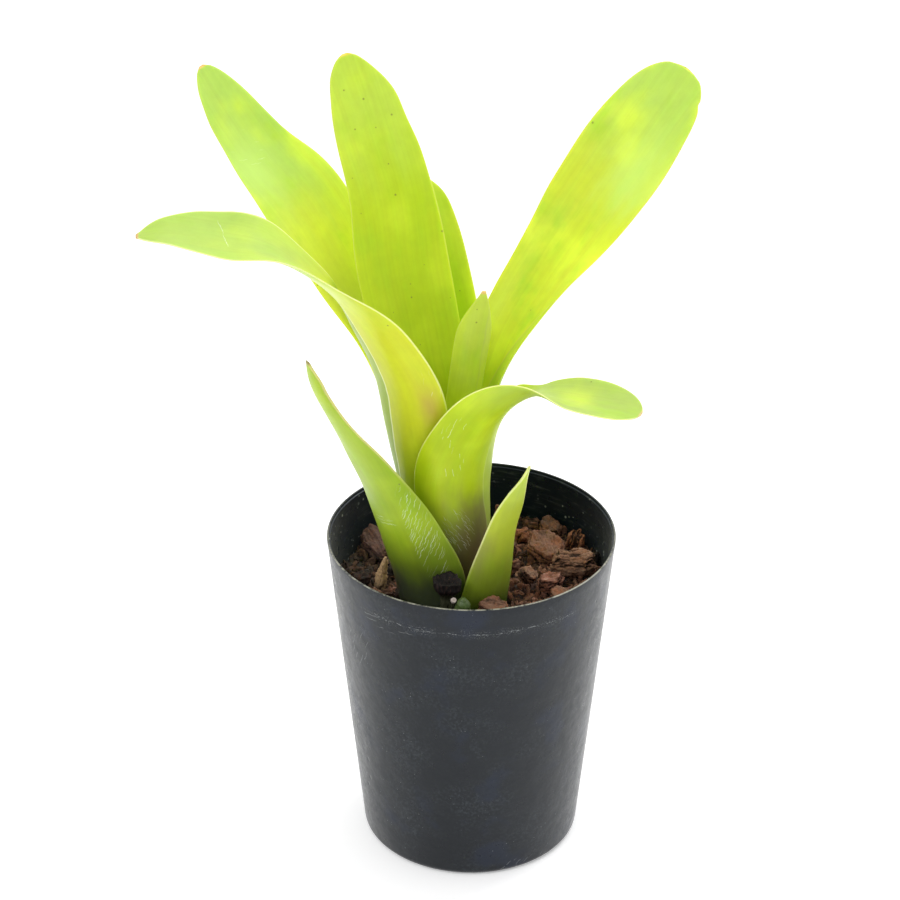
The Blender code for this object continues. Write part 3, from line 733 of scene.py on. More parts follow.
def leaf_marks(t, given, leaf, colour):
    from_blush = (leaf.place - given.Blush_centre) / given.Blush_reach
    frayed = t.vector("LENGTH", from_blush * (1, 1, 0)) + (leaf.pattern(5, 11, 3) - 0.5) * 0.7
    colour = t.blend(t.ramp(frayed, 0.0, 1.1, 1.0, 0.0) * given.Blush_amount, colour, given.Blush)
    colour = t.blend(t.ramp(leaf.side, 0.2, -0.2) * given.Outer_sheen, colour, SHEEN)
    dark = t.group(FLAT_SPECKS, Place=leaf.place + t.combine(leaf.seed, leaf.seed, 0), Spacing=7.0,
                   Size=0.42, Share=given.Speck_share).Mask
    return t.blend(dark * 0.65, colour, SPECK_BROWN)


print("sheen and speck colours:", SHEEN[:3], SPECK_BROWN[:3])

# %% [markdown]
# The margin is a pale thin line. On four leaves a fold is painted on; the strap itself does not fold.
# Past a line along the leaf the strip takes another colour, which stands for its other face and, where
# it is darker, for painted shade, and a pale painted highlight runs along the fold line. The very tip
# is dried. The distance to the tip follows from the distance already run and the share of the leaf
# that this is.

# %% Margin, fold and tip
def leaf_margin(t, given, leaf, colour):
    edge = leaf.edge + (leaf.pattern(4, 5) - 0.5) * 0.3
    rim = (t.ramp(edge, given.Margin_width * 0.4, given.Margin_width, 1.0, 0.0)
           * t.ramp(leaf.along, given.Margin_start, given.Margin_start + 0.2, 0.12, 1.0))
    return t.blend(rim * given.Margin_amount, colour, given.Margin)


def leaf_painted_fold(t, given, leaf, colour):
    wavy = (leaf.pattern(40, 9) - 0.5) * 1.2
    past = leaf.off + wavy - (given.Fold_off + given.Fold_lean * leaf.run)
    span = (t.ramp(leaf.run, given.Fold_start, given.Fold_start + 9.0)
            * t.ramp(leaf.run, given.Fold_end, given.Fold_end - 9.0) * given.Fold_amount)
    # Past the fold line the colour turns to Beyond: the other face, and painted shade where it is
    # darker.
    colour = t.blend(t.ramp(past * given.Fold_side, -0.2, 0.3) * span, colour, given.Beyond)
    # The pale ridge along the fold line is a painted highlight.
    ridge_highlight = t.ramp(abs(past), 0.15, 0.55, 1.0, 0.0)
    return t.blend(ridge_highlight * span * given.Fold_line, colour, given.Margin)


def leaf_tip(t, given, leaf, colour):
    left = leaf.run / t.math("MAXIMUM", leaf.along, 0.001) - leaf.run
    return t.blend(t.ramp(left, given.Tip_length * 0.3, given.Tip_length, 1.0, 0.0), colour,
                   given.Tip)


print("steps of the leaf's colour:", "ground, veins, marks, margin, fold, tip")

# %% [markdown]
# The group puts these steps in order, from the ground colours to the tip. Gloss is uneven, and the
# underside is a little duller. The relief is the veins and a fine grain.

# %% The leaf skin group
LEAF_COLOURS = dict(
    Base=(0.10, 0.11, 0.04, 1), Sheath=(0.33, 0.50, 0.045, 1), Blade=(0.50, 0.70, 0.05, 1),
    Far=(0.52, 0.70, 0.15, 1), Bright=(0.73, 0.86, 0.045, 1), Deep=(0.38, 0.62, 0.02, 1),
    Margin=(0.52, 0.58, 0.14, 1), Tip=(0.50, 0.28, 0.10, 1), Blush=(0.42, 0.28, 0.12, 1),
    Beyond=(0.35, 0.50, 0.08, 1))
LEAF_NUMBERS = dict(
    Base_end=0.16, Sheath_end=0.38, Far_start=0.62, Tip_length=3.0, Margin_width=0.5,
    Margin_start=0.5, Margin_amount=0.5, Fold_off=0.0, Fold_lean=0.0, Fold_side=1.0,
    Fold_start=60.0, Fold_end=120.0, Fold_amount=0.0, Fold_line=0.8, Blush_centre=(0, 60, 0),
    Blush_reach=(8, 20, 1), Blush_amount=0.0, Cloud_amount=0.5, Outer_sheen=0.0, Speck_share=0.03,
    Seed=0.0)


def make_leaf_group():
    t, given = new_tree("leaf_skin", "ShaderNodeTree", {**LEAF_COLOURS, **LEAF_NUMBERS}, SKIN_OUTPUTS)
    leaf = leaf_place(t, given.Seed)
    vein, colour = leaf_veins(t, leaf, leaf_ground(t, given, leaf))
    for step in (leaf_marks, leaf_margin, leaf_painted_fold, leaf_tip):
        colour = step(t, given, leaf, colour)
    shine = t.ramp(leaf.pattern(6, 12, 4, 0.65), 0.3, 0.7, 0.30, 0.42)
    return t.returns(Color=colour, Roughness=shine + t.ramp(leaf.side, 0.2, -0.2) * 0.10,
                     Height=vein + leaf.pattern(0.5, 0.9) * 0.25)


LEAF_SKIN = make_leaf_group()
print("inputs of the leaf skin:", len(LEAF_COLOURS) + len(LEAF_NUMBERS))

# %% [markdown]
# Each leaf has its own values in that one group. Old outer leaves are darker at the base; on the left
# outer leaf that darkness is painted shade. The heart is small and pale, and the high blades are thin
# and bright, with sheaths brightened by a painted glow. Colours are given as a picture editor shows
# them, and turned into the shader's own linear values.

# %% The look of each leaf
def srgb(red, green, blue):
    """A shader colour from the 0-255 values that a picture editor shows."""
    share = np.array([red, green, blue]) / 255
    linear = np.where(share <= 0.04045, share / 12.92, ((share + 0.055) / 1.055) ** 2.4)
    return (*[float(round(v, 4)) for v in linear], 1.0)


LEAF_LOOKS = {
    "leaf_heart": dict(
        Base=srgb(120, 140, 40), Sheath=srgb(190, 216, 52), Blade=srgb(198, 217, 55),
        Far=srgb(195, 211, 78), Base_end=0.10, Sheath_end=0.35, Far_start=0.55, Outer_sheen=0.10,
        Tip=srgb(228, 190, 124), Tip_length=1.6, Speck_share=0.12, Fold_off=3.4, Fold_start=64.0,
        Fold_end=136.0, Fold_amount=0.6, Fold_line=0.4, Beyond=srgb(206, 220, 84), Seed=1.3),
    "leaf_tall_back": dict(
        Base=srgb(120, 140, 40), Sheath=srgb(194, 212, 27), Blade=srgb(188, 209, 35),
        Far=srgb(192, 214, 78), Base_end=0.10, Sheath_end=0.40, Far_start=0.70, Cloud_amount=0.35,
        Tip=srgb(222, 205, 90), Tip_length=1.3, Speck_share=0.26, Seed=2.9),
    "leaf_right": dict(
        Base=srgb(120, 140, 40), Sheath=srgb(229, 224, 76), Blade=srgb(200, 213, 48),
        Far=srgb(184, 212, 90), Base_end=0.08, Sheath_end=0.36, Far_start=0.74,
        Blush=srgb(203, 230, 118), Blush_centre=(-9, 177, 0), Blush_reach=(16, 25, 1),
        Blush_amount=0.7, Cloud_amount=0.75, Tip=srgb(215, 225, 95), Tip_length=1.0,
        Margin=srgb(204, 200, 104), Fold_off=37.8, Fold_lean=-0.427, Fold_side=-1.0,
        Fold_start=80.0, Fold_end=134.0, Fold_amount=0.6, Fold_line=0.9, Beyond=srgb(178, 205, 60),
        Seed=4.1),
    "leaf_left_back": dict(
        Base=srgb(120, 140, 40), Sheath=srgb(219, 227, 41), Blade=srgb(211, 222, 63),
        Far=srgb(178, 207, 92), Base_end=0.08, Sheath_end=0.36, Far_start=0.62,
        Blush=srgb(194, 222, 116), Blush_centre=(6, 180, 0), Blush_reach=(14, 22, 1),
        Blush_amount=0.7, Tip=srgb(225, 180, 110), Tip_length=1.2, Cloud_amount=0.55, Seed=5.6),
    "leaf_back": dict(
        Base=srgb(110, 130, 40), Sheath=srgb(197, 219, 38), Blade=srgb(199, 224, 40),
        Far=srgb(205, 224, 67), Base_end=0.10, Sheath_end=0.40, Far_start=0.66,
        Tip=srgb(190, 180, 60), Tip_length=1.0, Seed=6.2),
    "leaf_left_arching": dict(
        Base=srgb(125, 135, 60), Sheath=srgb(152, 179, 35), Blade=srgb(201, 206, 45),
        Far=srgb(172, 198, 92), Base_end=0.14, Sheath_end=0.42, Far_start=0.58, Cloud_amount=0.25,
        Tip=srgb(206, 168, 120), Tip_length=1.6, Margin=srgb(240, 242, 196), Margin_width=0.7,
        Margin_amount=0.5, Margin_start=0.30, Fold_off=-11.6, Fold_lean=0.06, Fold_side=-1.0,
        Fold_start=58.0, Fold_end=150.0, Fold_amount=0.85, Beyond=srgb(138, 168, 12),
        Blush=srgb(186, 140, 80), Blush_centre=(11, 95, 0), Blush_reach=(6, 11, 1),
        Blush_amount=0.5, Seed=7.4),
    "leaf_right_arching": dict(
        Base=srgb(89, 70, 66), Sheath=srgb(129, 146, 40), Blade=srgb(175, 197, 22),
        Far=srgb(166, 189, 88), Base_end=0.26, Sheath_end=0.42, Far_start=0.62,
        Tip=srgb(214, 186, 136), Tip_length=0.9, Margin=srgb(240, 238, 180), Margin_amount=0.6,
        Margin_start=0.42, Blush=srgb(116, 96, 76), Blush_centre=(2, 32, 0),
        Blush_reach=(24, 34, 1), Blush_amount=1.0, Fold_off=6.9, Fold_start=32.0, Fold_end=84.0,
        Fold_amount=0.6, Fold_line=0.25, Beyond=srgb(168, 190, 70), Seed=8.8),
    # This leaf's dark Base and the dark Blush over it are painted shade at the foot of the leaf.
    "leaf_left_outer": dict(
        Base=srgb(48, 54, 46), Sheath=srgb(116, 138, 33), Blade=srgb(138, 165, 16),
        Far=srgb(160, 185, 52), Base_end=0.27, Blush=srgb(70, 80, 54), Blush_centre=(2, 20, 0),
        Blush_reach=(22, 17, 1), Blush_amount=0.9, Sheath_end=0.46, Far_start=0.52,
        Cloud_amount=0.2, Tip=srgb(150, 140, 84), Tip_length=2.0, Margin=srgb(225, 200, 160),
        Margin_width=0.9, Margin_amount=0.55, Margin_start=0.50, Seed=9.5),
    "leaf_right_outer": dict(
        Base=srgb(70, 100, 36), Sheath=srgb(150, 172, 50), Blade=srgb(176, 190, 54),
        Far=srgb(170, 191, 85), Base_end=0.34, Sheath_end=0.60, Far_start=0.72,
        Tip=srgb(218, 222, 150), Tip_length=1.6, Margin=srgb(236, 236, 180), Margin_width=0.8,
        Margin_amount=0.6, Margin_start=0.36, Blush=srgb(150, 140, 84), Blush_centre=(-8, 42, 0),
        Blush_reach=(6, 14, 1), Blush_amount=0.6, Seed=10.7),
}
print("looks of leaves:", len(LEAF_LOOKS))

# %% [markdown]
# Some blades are scratched where they rubbed against something. The patches are listed leaf by leaf:
# where the middle of a patch lies on the leaf and how far it reaches, which way its strokes run, how
# close and how long they are, how many of them show and how strongly.

# %% Scratches on the leaves
LEAF_SCRATCHES = {
    # centre on the leaf, reach, lean from the leaf's axis, spacing, length, share, strength
    "leaf_left_outer": [((11.0, 49), (6, 25), 34, 0.6, 8.0, 0.60, 0.50),
                        ((-3.0, 55), (6, 2.4), 80, 0.7, 9.0, 0.60, 0.60)],
    "leaf_right_arching": [((-6.0, 45), (7, 11), -25, 0.6, 5.0, 0.55, 0.45),
                           ((-14.0, 87), (4, 6), -10, 1.4, 5.0, 0.55, 0.60),
                           ((-9.0, 74), (5, 13), -20, 1.3, 4.0, 0.30, 0.45)],
    "leaf_left_arching": [((-0.5, 190), (9, 5), -68, 3.4, 16.0, 0.55, 0.75),
                          ((14.0, 104), (3, 6), 20, 1.4, 3.5, 0.40, 0.35)],
    "leaf_left_back": [((4.0, 186), (7, 9), 62, 1.6, 6.0, 0.30, 0.35)],
}
print("patches of scratches:", sum(len(rows) for rows in LEAF_SCRATCHES.values()))

# %% [markdown]
# Each leaf gets a material of its own round that one group. A scratch is paler and a little rougher
# than the blade. A little subsurface scattering carries the light through the blade, least of it
# blue, and a fine bump makes the veins.

# %% Leaf materials
VEIN_DEPTH = 0.06           # millimetres
SCATTER_DEPTH = 1.6         # how far light travels in the leaf, in millimetres
SCRATCH_PALE = (0.93, 0.95, 0.80, 1)


def dress(t, shader, skin, depth, strength=1.0, **constants):
    """Links a skin's colour, roughness and relief to the shader, and sets the shader's constants."""
    t.put(skin.Color, shader.inputs["Base Color"])
    t.put(skin.Roughness, shader.inputs["Roughness"])
    t.put(t.get("ShaderNodeBump", named={
        "Strength": strength, "Distance": depth * MM, "Height": skin.Height}), shader.inputs["Normal"])
    set_constants(shader, **constants)


def make_leaf_material(name, look, scratches):
    material, t, shader = new_material(name + "_skin")
    skin = t.group(LEAF_SKIN, **look)
    place = t.attribute("leaf_mm", "Vector")
    for centre, reach, angle, spacing, stroke, share, strength in scratches:
        mask = t.group(STROKES, Place=place, Centre=(*centre, 0), Reach=(*reach, 1),
                       Angle=radians(angle), Spacing=spacing, Stroke=stroke, Share=share).Mask
        mask = mask * strength
        skin.Color = t.blend(mask, skin.Color, SCRATCH_PALE)
        skin.Roughness = skin.Roughness + mask * 0.3
    dress(t, shader, skin, VEIN_DEPTH, strength=0.5, Specular_IOR_Level=0.22,
          Subsurface_Weight=0.55, Subsurface_Radius=(0.9, 1.0, 0.25),
          Subsurface_Scale=SCATTER_DEPTH * MM)
    return material


print("scratched leaves:", ", ".join(LEAF_SCRATCHES))

# %% [markdown]
# Now the nine leaves grow from their midribs. Each stands for the solid of the same leaf. The margins
# ripple by a third of a millimetre, with a phase of their own.

# %% Grow the leaves
LEAF_THICKNESS, RIPPLE, RIPPLE_LENGTH = 0.9, 0.35, 34       # millimetres


def make_leaf(name, leaf, look, scratches):
    carrier, length = midrib_object(name + "_midrib", leaf)
    piece = grow(name + "_blade", carrier, LEAF_TREE, Thickness=LEAF_THICKNESS * MM,
                 Length=length * MM, Ripple=RIPPLE * MM, Ripple_length=RIPPLE_LENGTH * MM,
                 Phase=look["Seed"], Material=make_leaf_material(name, look, scratches))
    return settle(piece, name, slot="leaf")


leaf_pieces = [make_leaf(name, leaf, LEAF_LOOKS[name], LEAF_SCRATCHES.get(name, ()))
               for name, leaf in LEAVES.items()]
print("leaf faces:", sum(len(piece.data.polygons) for piece in leaf_pieces))

# %% [markdown]
# ## The pot
#
# A nursery pot is injection-moulded from thin black plastic: a plain cone with a small step inside
# under the rim, a rounded foot and drain holes in the floor. The solid had flat facets; this one is
# turned from one closed profile, with enough segments for a smooth outline. A turned shape is a
# stack of rings, and so are the stub and the bud below, so one function skins them all.

# %% Skin over rings
def ring_solid(name, rings):
    """A closed skin over rings with the same number of points, from a bottom cap to a top cap."""
    count = len(rings[0])
    points = [point for ring in rings for point in ring]
    faces = [(low * count + i, low * count + (i + 1) % count,
              (low + 1) * count + (i + 1) % count, (low + 1) * count + i)
             for low in range(len(rings) - 1) for i in range(count)]
    for ring, turn in ((0, -1), (len(rings) - 1, 1)):
        middle = len(points)
        points.append(tuple(np.mean(rings[ring], axis=0)))
        loop = [ring * count + i for i in range(count)]
        faces += [(middle, *(loop[i], loop[(i + 1) % count])[::turn]) for i in range(count)]
    mesh = bpy.data.meshes.new(name)
    mesh.from_pydata((np.array(points) * MM).tolist(), [], faces)
    mesh.shade_smooth()
    return link(name, mesh)


def around(count):
    """The angles of that many points round a circle."""
    return [2 * pi * i / count for i in range(count)]


def turned(name, profile, segments):
    """A solid of revolution from a profile of (radius, height)."""
    return ring_solid(name, [[(r * cos(a), r * sin(a), z) for a in around(segments)]
                             for r, z in profile])


def arc(centre, radius, start, end, steps):
    """Points of a profile round a centre, angles in degrees from the outward direction."""
    turns = [radians(start + (end - start) * k / steps) for k in range(steps + 1)]
    return [(centre[0] + radius * cos(a), centre[1] + radius * sin(a)) for a in turns]


print("a circle of four:", ["%.2f" % a for a in around(4)])

# %% [markdown]
# The profile runs from the middle of the underside up the outside, over the rim with a real round on
# it, and down the inside to the floor. The six drain holes are cut with cylinders. Their corners are
# kept off the spokes of the floor, so that the cut leaves no slivers.

# %% The pot's body
POT_HEIGHT, RIM_RADIUS, BASE_RADIUS = 124.4, 52.5, 40.0
WALL, FLOOR = 1.1, 2.0                  # thickness of the wall and of the floor
WALL_SLOPE = (RIM_RADIUS - BASE_RADIUS) / POT_HEIGHT
CORNER = 3.0                            # round between wall and floor
STEP_DEPTH, STEP_WIDTH = 1.2, 0.4       # the small step inside, under the rim
RIM_ROUND = 0.32
POT_TURNS = 288
FLOOR_RING = 16.0                       # the floor's inner ring of points, clear of the holes
DRAIN_HOLES, DRAIN_RADIUS, DRAIN_CIRCLE = 6, 4.0, 24.0
DRAIN_SIDES = 42                        # no corner of a hole falls on a spoke of the floor


def wall_radius(height):
    return BASE_RADIUS + WALL_SLOPE * height


def pot_profile():
    lip = RIM_RADIUS - WALL + STEP_WIDTH
    inner_round = RIM_ROUND * 0.6
    step = POT_HEIGHT - STEP_DEPTH
    foot = wall_radius(FLOOR + CORNER) - WALL
    profile = [(FLOOR_RING, 0), *arc((wall_radius(CORNER) - CORNER, CORNER), CORNER, -90, -6, 8)]
    profile += [(wall_radius(h), h) for h in np.linspace(10, POT_HEIGHT - 4, 24)]
    profile += arc((RIM_RADIUS - RIM_ROUND, POT_HEIGHT - RIM_ROUND), RIM_ROUND, 0, 90, 5)
    profile += arc((lip + inner_round, POT_HEIGHT - inner_round), inner_round, 90, 180, 4)
    profile += [(wall_radius(step) - WALL + STEP_WIDTH, step + 0.2), (wall_radius(step) - WALL, step)]
    profile += [(wall_radius(h) - WALL, h) for h in np.linspace(step - 2, 8, 20)]
    profile += [*arc((foot - CORNER, FLOOR + CORNER), CORNER, -2, -90, 6), (FLOOR_RING, FLOOR)]
    return profile


def make_pot_body():
    body = turned("pot_turned", pot_profile(), POT_TURNS)
    drains = []
    for i in range(DRAIN_HOLES):
        angle = 2 * pi * (i + 0.5) / DRAIN_HOLES
        drain = turned("drain", [(DRAIN_RADIUS, -2), (DRAIN_RADIUS, 4)], DRAIN_SIDES)
        drain.location = (DRAIN_CIRCLE * cos(angle) * MM, DRAIN_CIRCLE * sin(angle) * MM, 0)
        cut = body.modifiers.new("drain", "BOOLEAN")
        cut.operation, cut.object = "DIFFERENCE", drain
        drains.append(drain)
    pot = plain_mesh(body, "pot_body")
    for drain in drains:
        bpy.data.objects.remove(drain)
    pot.data.shade_smooth()
    pot.data.set_sharp_from_angle(angle=radians(40))
    return pot


pot_body = make_pot_body()
print("pot faces:", len(pot_body.data.polygons))

# %% [markdown]
# The plastic looks almost black, yet it mirrors the white room, most of all where it turns away at
# the sides. Its patterns are laid out by height and by the distance round the wall, with zero at the
# front. Dust lies on it as a film, with fine specks where the film is thick and a few large ones.

# %% Worn plastic: dust
UNROLL_RADIUS = 47.0        # of the cylinder that the wall is rolled out from
BLUE_CAST, SPECK_GREY = (0.006, 0.010, 0.024, 1), (0.42, 0.45, 0.46, 1)


def wall_place(t, place):
    """Where a point lies on the pot's wall, and whether that is the inner face."""
    x, y, z = t.separate(place)
    turn = t.math("ARCTAN2", x, y * -1.0)
    round_wall = turn * UNROLL_RADIUS
    inside = t.vector("LENGTH", place * (1, 1, 0)) < z * WALL_SLOPE + (BASE_RADIUS - WALL / 2)
    return SimpleNamespace(place=place, z=z, turn=abs(turn), round=round_wall,
                           flat=t.combine(round_wall, z), inside=inside)


def pot_specks(t, wall, spacing, size, share):
    return t.group(SPECKS, Place=wall.place, Spacing=spacing, Size=size, Share=share).Mask


def plastic_dust(t, given, wall):
    film, grime = t.noise(wall.place, 0.045, 4, 0.6), t.noise(wall.place, 0.9, 3, 0.7)
    dust = t.ramp(film, 0.35, 0.75) * t.ramp(grime, 0.42, 0.72)
    colour = t.blend(dust * given.Dust_amount, given.Plastic, given.Dust)
    colour = t.blend(t.ramp(t.noise(wall.place, 0.07, 3), 0.52, 0.72) * 0.8, colour, BLUE_CAST)
    fine = pot_specks(t, wall, 1.3, 0.17, 0.30) * t.ramp(film, 0.40, 0.62)
    large = pot_specks(t, wall, 9.0, 0.42, 0.16)
    return dust, grime, t.blend(t.math("MAXIMUM", fine * 0.45, large * 0.75), colour, SPECK_GREY)


print("wall leans outwards by %.1f mm in 100 mm" % (WALL_SLOPE * 100))

# %% [markdown]
# Years of use show. Pots that were stacked rubbed a broken pale ring a little under the rim, and there
# are three patches of scratches on the wall. The inner face is chalky in spots, and streaked round
# the wall.

# %% Worn plastic: rubs and chalk
WALL_RUBS = [
    # centre, reach, angle, spacing, length, share, width
    ((-44, 96), (8, 12), 0.45, 1.3, 7.0, 0.45, 0.16),
    ((-26, 112), (16, 4), 1.45, 1.0, 9.0, 0.30, 0.15),
    ((24, 2), (14, 4), 0.90, 1.1, 3.5, 0.45, 0.18),
]
CHALK = (0.42, 0.45, 0.45, 1)


def stacking_ring(t, given, wall):
    wobble = (t.noise(wall.flat, 0.035, 4, 0.65) - 0.5) * 5.0
    off_ring = abs(wall.z + wobble - given.Ring_height)
    dashes = t.noise(t.combine(wall.round * 0.9, wall.z * 1.6), 1.0, 3, 0.7)
    line = t.ramp(off_ring, 0.06, 0.30, 1.0, 0.0) * t.ramp(dashes, 0.46, 0.68)
    fuzz = (t.ramp(off_ring, 0.3, 2.8, 1.0, 0.0) * t.ramp(t.noise(wall.flat, 1.9, 3, 0.75), 0.54, 0.68)
            * t.ramp(t.noise(wall.flat, 0.09), 0.38, 0.55))
    return (line + fuzz * 0.7).clamped() * t.ramp(wall.turn, 0.55, 0.95, 1.0, 0.08)


def wall_rubs(t, wall):
    masks = [t.group(STROKES, Place=wall.flat, Centre=(*centre, 0), Reach=(*reach, 1), Angle=angle,
                     Spacing=spacing, Stroke=stroke, Share=share, Width=width).Mask
             for centre, reach, angle, spacing, stroke, share, width in WALL_RUBS]
    return sum(masks[1:], masks[0])


def inner_wall(t, given, wall):
    streak = t.noise(t.combine(wall.round * 0.10, wall.z * 0.8), 1.0, 4, 0.75)
    chalk = (pot_specks(t, wall, 2.1, 0.62, 0.45) * t.ramp(t.noise(wall.place, 0.06), 0.36, 0.56)
             * t.ramp(wall.turn, 2.2, 2.7, 1.0, 0.2))
    rubbed = t.math("MAXIMUM", t.ramp(streak, 0.52, 0.75) * 0.12, chalk * 0.75)
    return t.blend(rubbed, given.Inside, CHALK)


print("patches of scratches:", len(WALL_RUBS))

# %% [markdown]
# Put together, the wall is scuffed plastic outside and chalky plastic inside, and the crest of the rim
# is pale, most of all at the front: partly wear, and partly a painted highlight along the rim's edge.
# Relief is the slight wave of the moulded wall, with a few sunken drops at the sides. The next
# function makes a material round a group of this kind, and the remaining pieces use it too.

# %% Worn plastic: the group
PLASTIC_INPUTS = dict(
    Place="Vector", Plastic=(0.0035, 0.0045, 0.0065, 1), Inside=(0.0025, 0.0075, 0.012, 1),
    Dust=(0.20, 0.24, 0.27, 1), Worn=(0.62, 0.60, 0.50, 1), Ring_height=113.6, Dust_amount=0.14)
SCUFF = (0.40, 0.42, 0.42, 1)


def make_plastic_group():
    t, given = new_tree("worn_plastic", "ShaderNodeTree", PLASTIC_INPUTS, SKIN_OUTPUTS)
    wall = wall_place(t, given.Place)
    dust, grime, colour = plastic_dust(t, given, wall)
    scuffs = (wall_rubs(t, wall) * 0.38 + stacking_ring(t, given, wall) * 0.62).clamped()
    colour = t.blend(scuffs * (1.0 - wall.inside), colour, SCUFF)
    colour = t.blend(wall.inside, colour, inner_wall(t, given, wall))
    # The pale crest of the rim is partly wear and partly a painted highlight, strongest at the front.
    rim_wear_and_highlight = (t.ramp(wall.z, POT_HEIGHT - 0.30, POT_HEIGHT - 0.08)
            * t.ramp(t.noise(wall.flat, 0.35, 4, 0.7), 0.30, 0.60))
    colour = t.blend(rim_wear_and_highlight * t.ramp(wall.turn, 1.0, 2.0, 0.55, 0.06), colour, given.Worn)
    rough = t.ramp(t.noise(wall.place, 0.25, 4, 0.7), 0.3, 0.7, 0.26, 0.38)
    drops = pot_specks(t, wall, 5.5, 1.1, 0.35) * t.ramp(wall.turn, 0.9, 1.25)
    height = t.noise(wall.place, 0.16, 2, 0.45) * 0.9 + drops * -0.8 + grime * 0.05
    return t.returns(Color=colour, Roughness=rough + (scuffs + dust) * 0.25, Height=height)


def skin_material(name, tree, depth, strength=1.0, values=None, **constants):
    """A material round one group, whose patterns follow the object's coordinates in millimetres."""
    material, t, shader = new_material(name)
    place = t.get("ShaderNodeTexCoord", out="Object") * 1000.0
    skin = t.group(tree, Place=place, **(values or {}))
    dress(t, shader, skin, depth, strength, **constants)
    return material


pot_body.data.materials.append(skin_material(
    "black_pot_plastic", make_plastic_group(), 0.22, Specular_IOR_Level=0.32,
    Specular_Tint=(0.88, 0.94, 1.0, 1.0), Sheen_Weight=0.18, Sheen_Roughness=0.35))
settle(pot_body, "pot", slot="pot_plastic")
print("pot finish:", pot_body.data.materials[0].name)

# %% [markdown]
# ## Bark
#
# The pot is filled with broken pine bark. Each flake starts from its solid, which is remade with small
# even faces, and is then cut back by a pattern. Litter is made the same way. Whatever reaches into the
# pot's wall is moved back against its inner face.

# %% Small even faces, kept inside the pot
BAND_WIDTH = 0.002          # how deep under the surface the volume is filled, in metres
POT_GAP = 0.1               # millimetres between the bark and the wall


def remade(t, mesh, voxel):
    """The same closed shape with small even faces."""
    volume = t.get("GeometryNodeMeshToVolume", resolution_mode="VOXEL_SIZE", named={
        "Mesh": mesh, "Voxel Size": voxel, "Interior Band Width": BAND_WIDTH})
    return t.get("GeometryNodeVolumeToMesh", volume, resolution_mode="GRID")


def kept_inside(t, mesh):
    """Points that reached into the pot's wall are moved back against its inner face."""
    x, y, z = t.separate(t.get("GeometryNodeInputPosition"))
    radius = t.math("MAXIMUM", t.vector("LENGTH", t.combine(x, y)), 0.0001)
    most = z * WALL_SLOPE + (BASE_RADIUS - WALL - POT_GAP) * MM
    share = t.math("MINIMUM", most / radius, 1.0)
    return t.get("GeometryNodeSetPosition", mesh, None, t.combine(x * share, y * share, z))


print("room inside the pot at the rim: %.1f mm" % (RIM_RADIUS - WALL - POT_GAP))

# %% [markdown]
# Bark grows in thin layers, so a flake breaks with ledges along its sides and stays fibrous along its
# faces. The cut is the sum of ledges between layers, broken facets, fibres and cork. It is measured
# along the flake's own directions: along the grain, across it, and through the layers.

# %% Bark flake: the tree
FLAKE_INPUTS = dict(
    Flake="Geometry", Grain=(1, 0, 0), Thin=(0, 0, 1), Centre=(0, 0, 0), Voxel=0.0005, Layer=1.5,
    Ledge=0.8, Facet=0.9, Fibre=0.5, Seed=0.0, Material="Material")


def flake_cut(t, given, place, on_edge):
    u, _, w = t.separate(place)
    seeded = place + t.combine(given.Seed, 0, 0)
    layer = (w + (t.noise(seeded, 0.22) - 0.5) * 3.0) / given.Layer
    saw = t.math("FRACT", layer)
    step = t.ramp(saw, 0.0, 0.35) * t.ramp(saw, 1.0, 0.86)
    own = t.noise(t.combine(t.math("FLOOR", layer), given.Seed, u * 0.12), 1.0)
    ledge = (1.0 - step + own * 1.2) * (given.Ledge * on_edge)
    cell = t.voronoi(seeded * (0.16, 0.24, 0.36)).Distance
    facet = t.ramp(cell, 0.1, 0.9, kind="LINEAR") * given.Facet
    fibre = t.ramp(t.noise(seeded * (0.14, 0.9, 0.7), 1.0, 4, 0.6), 0.36, 0.64) * given.Fibre
    cork = t.ramp(t.noise(seeded, 0.9, 4, 0.7), 0.35, 0.65, kind="LINEAR") * 0.6
    return ledge + facet + (fibre + cork) - 1.1


def make_flake_tree():
    t, given = new_tree("bark_flake", "GeometryNodeTree", FLAKE_INPUTS, dict(Bark="Geometry"))
    from_centre = (t.get("GeometryNodeInputPosition") - given.Centre) * 1000.0
    side = t.vector("CROSS_PRODUCT", given.Thin, given.Grain)
    place = t.combine(*(t.vector("DOT_PRODUCT", from_centre, way)
                        for way in (given.Grain, side, given.Thin)))
    normal = t.get("GeometryNodeInputNormal")
    on_edge = t.ramp(abs(t.vector("DOT_PRODUCT", normal, given.Thin)), 0.9, 0.5)
    cut = flake_cut(t, given, place, on_edge)
    mesh = store(t, remade(t, given.Flake, given.Voxel), "bark_mm", place, "FLOAT_VECTOR")
    mesh = store(t, store(t, mesh, "bark_cut", cut), "bark_edge", on_edge)
    mesh = t.get("GeometryNodeSetPosition", mesh, None, None, normal * (cut * -0.001))
    return t.returns(Bark=finished(t, kept_inside(t, mesh), given.Material))


FLAKE_TREE = make_flake_tree()
print("nodes in the flake tree:", len(FLAKE_TREE.nodes))

# %% [markdown]
# The finish follows the same layers. Faces are brown-red cork with a grey bloom, broken edges show a
# lighter orange, and pale fibres lie mostly on the raised parts, where they are also a painted
# highlight. Everything that lies deep is nearly black: partly moisture, partly painted shade.
# The bark that lies low at the left wall is painted darker, partly as damp and partly as painted shade.

# %% Bark finish
BARK_SKIN_INPUTS = dict(
    Place="Vector", Face=(0.19, 0.098, 0.064, 1), Edge=(0.25, 0.10, 0.052, 1),
    Pale=(0.40, 0.25, 0.17, 1), Deep=(0.016, 0.009, 0.006, 1), Damp=(0.030, 0.030, 0.026, 1),
    Pale_amount=0.5, Seed=0.0)


